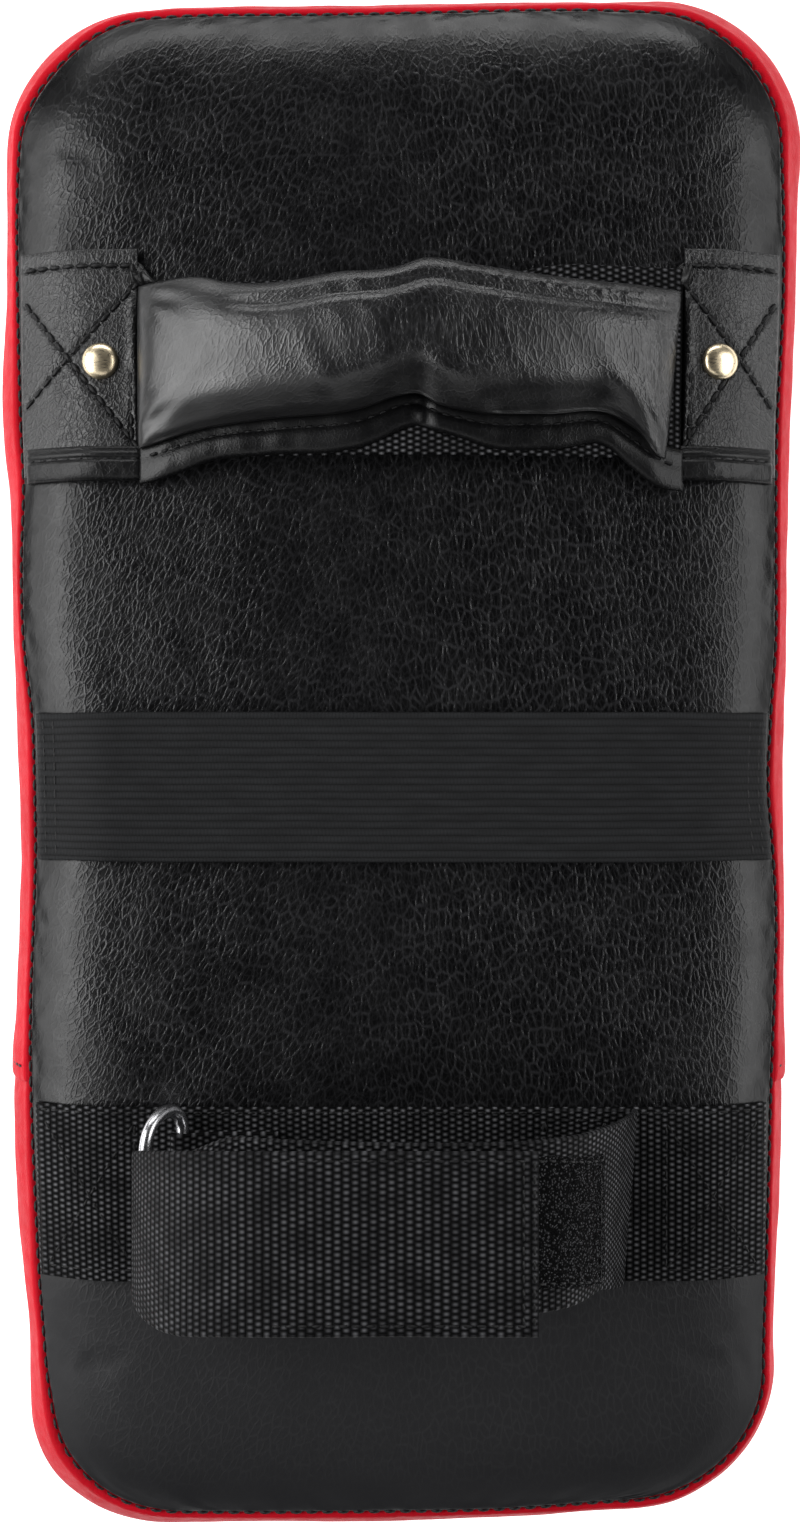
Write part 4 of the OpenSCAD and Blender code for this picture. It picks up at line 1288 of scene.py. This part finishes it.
# Half the widths of the loop and hook patches and of the ring's keeper.
PILE_HALF = 15.3
KEEPER_HALF = 17.9


def arch(s):
    """Point and outward normal of the strap in the XZ plane: 0 at the root, 1 at the crest, 2 at the ring."""
    p, t = (RIGHT_FLANK, s) if s < 1 else (LEFT_FLANK, s - 1)
    q = (1 - t) ** 3 * p[0] + 3 * t * (1 - t) ** 2 * p[1] + 3 * t * t * (1 - t) * p[2] + t**3 * p[3]
    d = (1 - t) ** 2 * (p[1] - p[0]) + 2 * t * (1 - t) * (p[2] - p[1]) + t * t * (p[3] - p[2])
    return q, np.array([d[1], -d[0]]) / np.hypot(*d)


def wrap(angle, inside=True):
    """Point and normal of the strap on the ring's bar; the normal turns away from the bar."""
    d = direction(angle)
    return STRAP_BAR + WRAP_R * d, (-d if inside else d)


def strap_edges(x, _):
    """Half width and middle of the strap along Y: it gathers as it goes into the ring."""
    narrow = smooth((-38 - x) / 22)
    tight = smooth((x - 14) / 18) * smooth((58 - x) / 9)
    return WEBBING_W / 2 - 4.7 * narrow - 2.0 * tight, STRAP_Y - 3.7 * narrow + 2.0 * tight


def tail_edges(x, z):
    """The tail lies a little skewed over the strap, with its lower corner rounded beside the ring."""
    top = -94.7 + 0.18 * (z - 95)
    low = -140.2 + 0.27 * (z - 95)
    corner = np.clip((x + 66) / 18, 0, 1)
    low += 14.5 * (1 - math.sqrt(1 - (1 - corner) ** 2.2))
    return (top - low) / 2, (top + low) / 2


def pile_edges(x, _):
    return PILE_HALF, STRAP_Y + 0.6 + 2.4 * smooth((50 - x) / 18)


def ribbon(name, stations, material, slot, body, nodes, thickness=WEB_T, width=strap_edges, wave=0.25,
           seed=81, extra=None, nominal=WEBBING_W / 2, lean=None):
    """A flat strap along stations of (point, normal) in the XZ plane, with rounded edges. extra(v, length)
    lifts its two faces and lean(x, v) shifts it along X; v is the place across it, -1 to 1."""
    e = thickness / 2
    t = np.linspace(-1, 1, 27)
    corner = [math.radians(d) for d in (-60, -25, 25, 60)]
    section = [(v, 0.0, 1.0, v) for v in t]
    section += [(1.0, math.cos(a) * e * 0.8, -math.sin(a), 1.0) for a in corner]
    section += [(v, 0.0, -1.0, v) for v in t[::-1]]
    section += [(-1.0, -math.cos(a) * e * 0.8, math.sin(a), -1.0) for a in corner]
    length = 0.0
    last = stations[0][0]
    points, uv = [], []
    for q, n in stations:
        length += float(np.hypot(*(q - last)))
        last = q
        half, mid = width(*q)
        for v, side, h, v_uv in section:
            off = e * h + (extra(v, length) if extra else 0.0)
            shift = lean(q[0], v) if lean else 0.0
            points.append((q[0] + n[0] * off + shift, mid + v * (half - e * 0.8) + side, q[1] + n[1] * off))
            uv.append((length, v_uv * nominal))
    p = np.array(points)
    sway = wave * wobble(np.column_stack([p[:, 0], 0 * p[:, 0], p[:, 2]]), (30, 30, 30), seed)
    p[:, 1] += sway * 0.8
    obj = mesh_object(name, p, tube_faces(len(stations), len(section)), uv, material)
    return finished(obj, body, slot, *nodes)


def offset_run(lo, hi, offset, steps):
    stations = []
    for i in range(steps + 1):
        q, n = arch(lo + (hi - lo) * i / steps)
        stations.append((q + n * offset, n))
    return stations


def strap_place(q):
    """A place of the strap's middle line, in metres."""
    return q[0] * MM, RING_Y * MM, q[1] * MM


def arch_stitch(s, v, lift, edges, margin):
    """A stitch on a strap that follows the arch, v of the way from its middle to its hem."""
    q, n = arch(s)
    q = q + n * lift
    half, mid = edges(*q)
    return np.array([q[0], mid + v * (half - margin), q[1]]), np.array([n[0], 0, n[1]])


def arm_strap():
    """The strap from its sewn root over the arm to the ring, and its turn round the ring's bar."""
    foot = [(np.array([x, FOOT_Z]), np.array([0.0, -1.0])) for x in np.linspace(*FOOT_X, 16)]
    centre = np.array([FOOT_X[1], FOOT_Z + FOLD_R])
    fold = [(centre + FOLD_R * direction(a), direction(a)) for a in range(-72, RISE - 91, 15)]
    body_run = foot + fold + offset_run(0, 2, 0, 110)

    def lean(x, v):
        """The lower end of the root is sewn further in than the upper one."""
        return 1.2 - 3.6 * (1 - v) / 2 * smooth((x - 34) / 18)

    strap = ribbon("arm_strap_webbing", body_run, webbing, "webbing", None, ["arm_strap"], lean=lean)
    strap_place(arch(1.62)[0])
    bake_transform(strap)

    turn = [wrap(a) for a in np.linspace(FALL - 90, FALL - 270, 19)]
    ribbon("arm_strap_fold", turn, webbing, "webbing", "ring", [], wave=0.0)

    a, b, c, d = box_corners((36, 51.5), STRAP_Y, WEBBING_W / 2 - 3)
    z = FOOT_Z + WEB_T / 2 + 0.1
    lines = [level_seam(*ends, z, 16) for ends in ((a, b), (b, c), (c, d), (d, a), (a, c), (d, b))]
    stitches("arm_strap_root_stitches", lines, "pad", ["root_stitching"], pitch=3.2, length=2.5, width=0.7)


def loop_patch():
    lo, hi = LOOP_ENDS

    def loops(v, length):
        coarse = noise.noise(Vector((length / 1.1, v * 18, 3.3)))
        fine = noise.noise(Vector((length / 3.5, v * 5, 8.1)))
        return (0.20 * coarse + 0.12 * fine) * (1 - max(abs(v) - 0.9, 0) * 4)

    ribbon("arm_strap_loop_patch", offset_run(lo, hi, WEB_T / 2 + 0.65, 120), pile, "pile", "pad",
           ["loop_patch"], thickness=1.25, width=pile_edges, extra=loops, nominal=PILE_HALF)
    on_pile = (WEB_T / 2 + 1.3, pile_edges, 1.2)
    lines = [[arch_stitch(lo + (hi - lo) * i / 80, side, *on_pile) for i in range(81)] for side in (-1, 1)]
    lines.append([arch_stitch(lo + 0.03, v, *on_pile) for v in np.linspace(-1, 1, 20)])
    stitches("arm_strap_loop_stitches", lines, "pad", ["loop_patch_stitching"],
             pitch=3.0, length=2.3, width=0.6)


def tail():
    """The strap's end, folded back over itself, with the hook patch under it."""
    run = offset_run(TAIL_TIP, 2, TAIL_OFFSET, 110)

    def ripple(v, length):
        return 0.25 * noise.noise(Vector((length / 24, v * 1.3, 5.5))) * min(length / 15, 1)

    obj = ribbon("arm_strap_tail", run, webbing_ribbed, "webbing", None, ["strap_tail"], width=tail_edges,
                 extra=ripple, seed=95)
    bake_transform(obj)

    def bristle(v, length):
        return 0.12 * noise.noise(Vector((length / 0.9, v * 22, 1.3)))

    hook_run = offset_run(*HOOK_ENDS, TAIL_OFFSET - WEB_T / 2 - 0.6, 50)
    ribbon("arm_strap_hook_patch", hook_run, pile, "pile", "tail", ["hook_patch"], thickness=1.1,
           width=pile_edges, extra=bristle, nominal=PILE_HALF, wave=0.0)
    on_tail = (TAIL_OFFSET + WEB_T / 2, tail_edges)
    lines = [[arch_stitch(TAIL_TIP + start, v, *on_tail, 1.8) for v in np.linspace(-1, 1, 24)]
             for start in (0.012, 0.042)]
    reach = HOOK_ENDS[1] - TAIL_TIP
    lines += [[arch_stitch(TAIL_TIP + 0.03 + reach * i / 40, side, *on_tail, 2.4) for i in range(41)]
              for side in (-1, 1)]
    stitches("arm_strap_tail_stitches", lines, "tail", ["tail_stitching"], pitch=3.0, length=2.5, width=0.7)


def keeper():
    """The tab that is folded round the ring's lower bar and sewn down beside it."""
    bar_r, gap, half_tab = 1.6, 0.1, 0.7
    r = bar_r + gap + half_tab
    bar_x, bar_z = KEEPER_BAR
    outer = [(KEEPER_BAR + r * direction(a), direction(a)) for a in np.linspace(-90, -270, 21)]
    low = [(np.array([x, bar_z - r]), np.array([0.0, -1.0])) for x in np.linspace(-30.6, bar_x + 0.6, 14)]
    level = BASE_TOP + gap + 3 * half_tab
    high = []
    for i in range(1, 22):
        x = bar_x + (24 - 0.1) * i / 21
        drop = smooth((x - bar_x) / 8.0)
        z = bar_z + r + (level - bar_z - r) * drop
        high.append((np.array([x, z]), np.array([0.15 * float(drop < 1), 1.0])))
    run = [(q, n / np.hypot(*n)) for q, n in low + outer + high]
    ribbon("ring_keeper_tab", run, webbing, "webbing", "pad", ["ring_keeper"], thickness=1.3,
           width=lambda *_: (KEEPER_HALF, RING_Y), wave=0.0, nominal=KEEPER_HALF)
    a, b, c, d = box_corners((bar_x + 10, bar_x + 22), RING_Y, 15.5)
    lines = [level_seam(*ends, level + 0.75, 12) for ends in ((a, c), (d, b), (a, d), (b, c), (d, c), (a, b))]
    stitches("ring_keeper_stitches", lines, "pad", ["keeper_stitching"], pitch=3.0, length=2.4, width=0.65)


def carried_over():
    """CAD nodes that keep their own shape get a finish."""
    for node, material in (("oval_ring", steel), ("rivet_posts", brass), ("rivet_washers", brass)):
        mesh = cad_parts[node].data
        mesh.materials.clear()
        mesh.materials.append(material)
        mesh.shade_smooth()


# ---------------------------------------------------------------- studio
def floor():
    reach, z = 3000.0, -0.6
    n = 9
    places = [(-1 + 2 * i / (n - 1)) * reach for i in range(n)]
    grid = [(x, y, z) for y in places for x in places]
    s = Shader("pale_floor", (0.9, 0.9, 0.9), 0.8, Emission_Strength=0.9)
    s.bsdf.inputs["Emission Color"].default_value = (1, 1, 1, 1)
    s.bsdf.inputs["Specular IOR Level"].default_value = 0.0
    obj = mesh_object("floor", grid, grid_faces(n, n), None, s.material)


def softbox(name, place, aim, size, power):
    light = bpy.data.lights.new(name, "AREA")
    light.shape = "RECTANGLE"
    light.size, light.size_y = size
    light.energy = power
    obj = bpy.data.objects.new(name, light)
    scene.collection.objects.link(obj)
    obj.location = place
    obj.rotation_euler = (Vector(aim) - Vector(place)).to_track_quat("-Z", "Y").to_euler()


def pale_world():
    """A pale surround behind the floor; it gives only a faint fill light."""
    world = bpy.data.worlds.new("studio")
    world.use_nodes = True
    nodes, links = world.node_tree.nodes, world.node_tree.links
    fill = nodes["Background"]
    fill.inputs["Color"].default_value = (0.94, 0.95, 1.0, 1)
    fill.inputs["Strength"].default_value = 0.03
    seen = nodes.new("ShaderNodeBackground")
    seen.inputs["Color"].default_value = (0.90, 0.91, 0.92, 1)
    share = nodes.new("ShaderNodeMixShader")
    links.new(nodes.new("ShaderNodeLightPath").outputs["Is Camera Ray"], share.inputs[0])
    links.new(fill.outputs[0], share.inputs[1])
    links.new(seen.outputs[0], share.inputs[2])
    links.new(share.outputs[0], nodes["World Output"].inputs["Surface"])
    return world


def studio():
    floor()
    aim = (0, 0, 0.07)
    softbox("softbox_left_low", (-0.86, 0.03, 0.46), aim, (1.3, 0.30), 4.2)
    softbox("softbox_right_low", (0.86, -0.03, 0.46), aim, (1.3, 0.30), 3.1)
    softbox("softbox_left_high", (-0.62, 0.08, 0.70), aim, (0.9, 0.30), 4.9)
    softbox("softbox_right_high", (0.66, 0.08, 0.66), aim, (0.9, 0.28), 2.6)
    softbox("softbox_head", (-0.05, 0.85, 0.36), aim, (0.9, 0.20), 2.8)
    softbox("softbox_foot", (-0.12, -0.58, 0.74), (0, -0.10, 0.07), (0.8, 0.30), 0.8)
    scene.world = pale_world()
    scene.view_settings.view_transform = "Standard"
    scene.view_settings.gamma = 0.88


def camera():
    """Straight over the middle of the pad, where the photo was taken from."""
    data = bpy.data.cameras.new("camera")
    data.lens, data.sensor_width = 50.5, 36
    obj = bpy.data.objects.new("camera", data)
    scene.collection.objects.link(obj)
    obj.location = (0, 0, 0.616)
    scene.camera = obj


camera()
pad_shell()
pad_seams()
grip()
elastic_band()
base_webbing()
arm_strap()
loop_patch()
tail()
keeper()
carried_over()
studio()
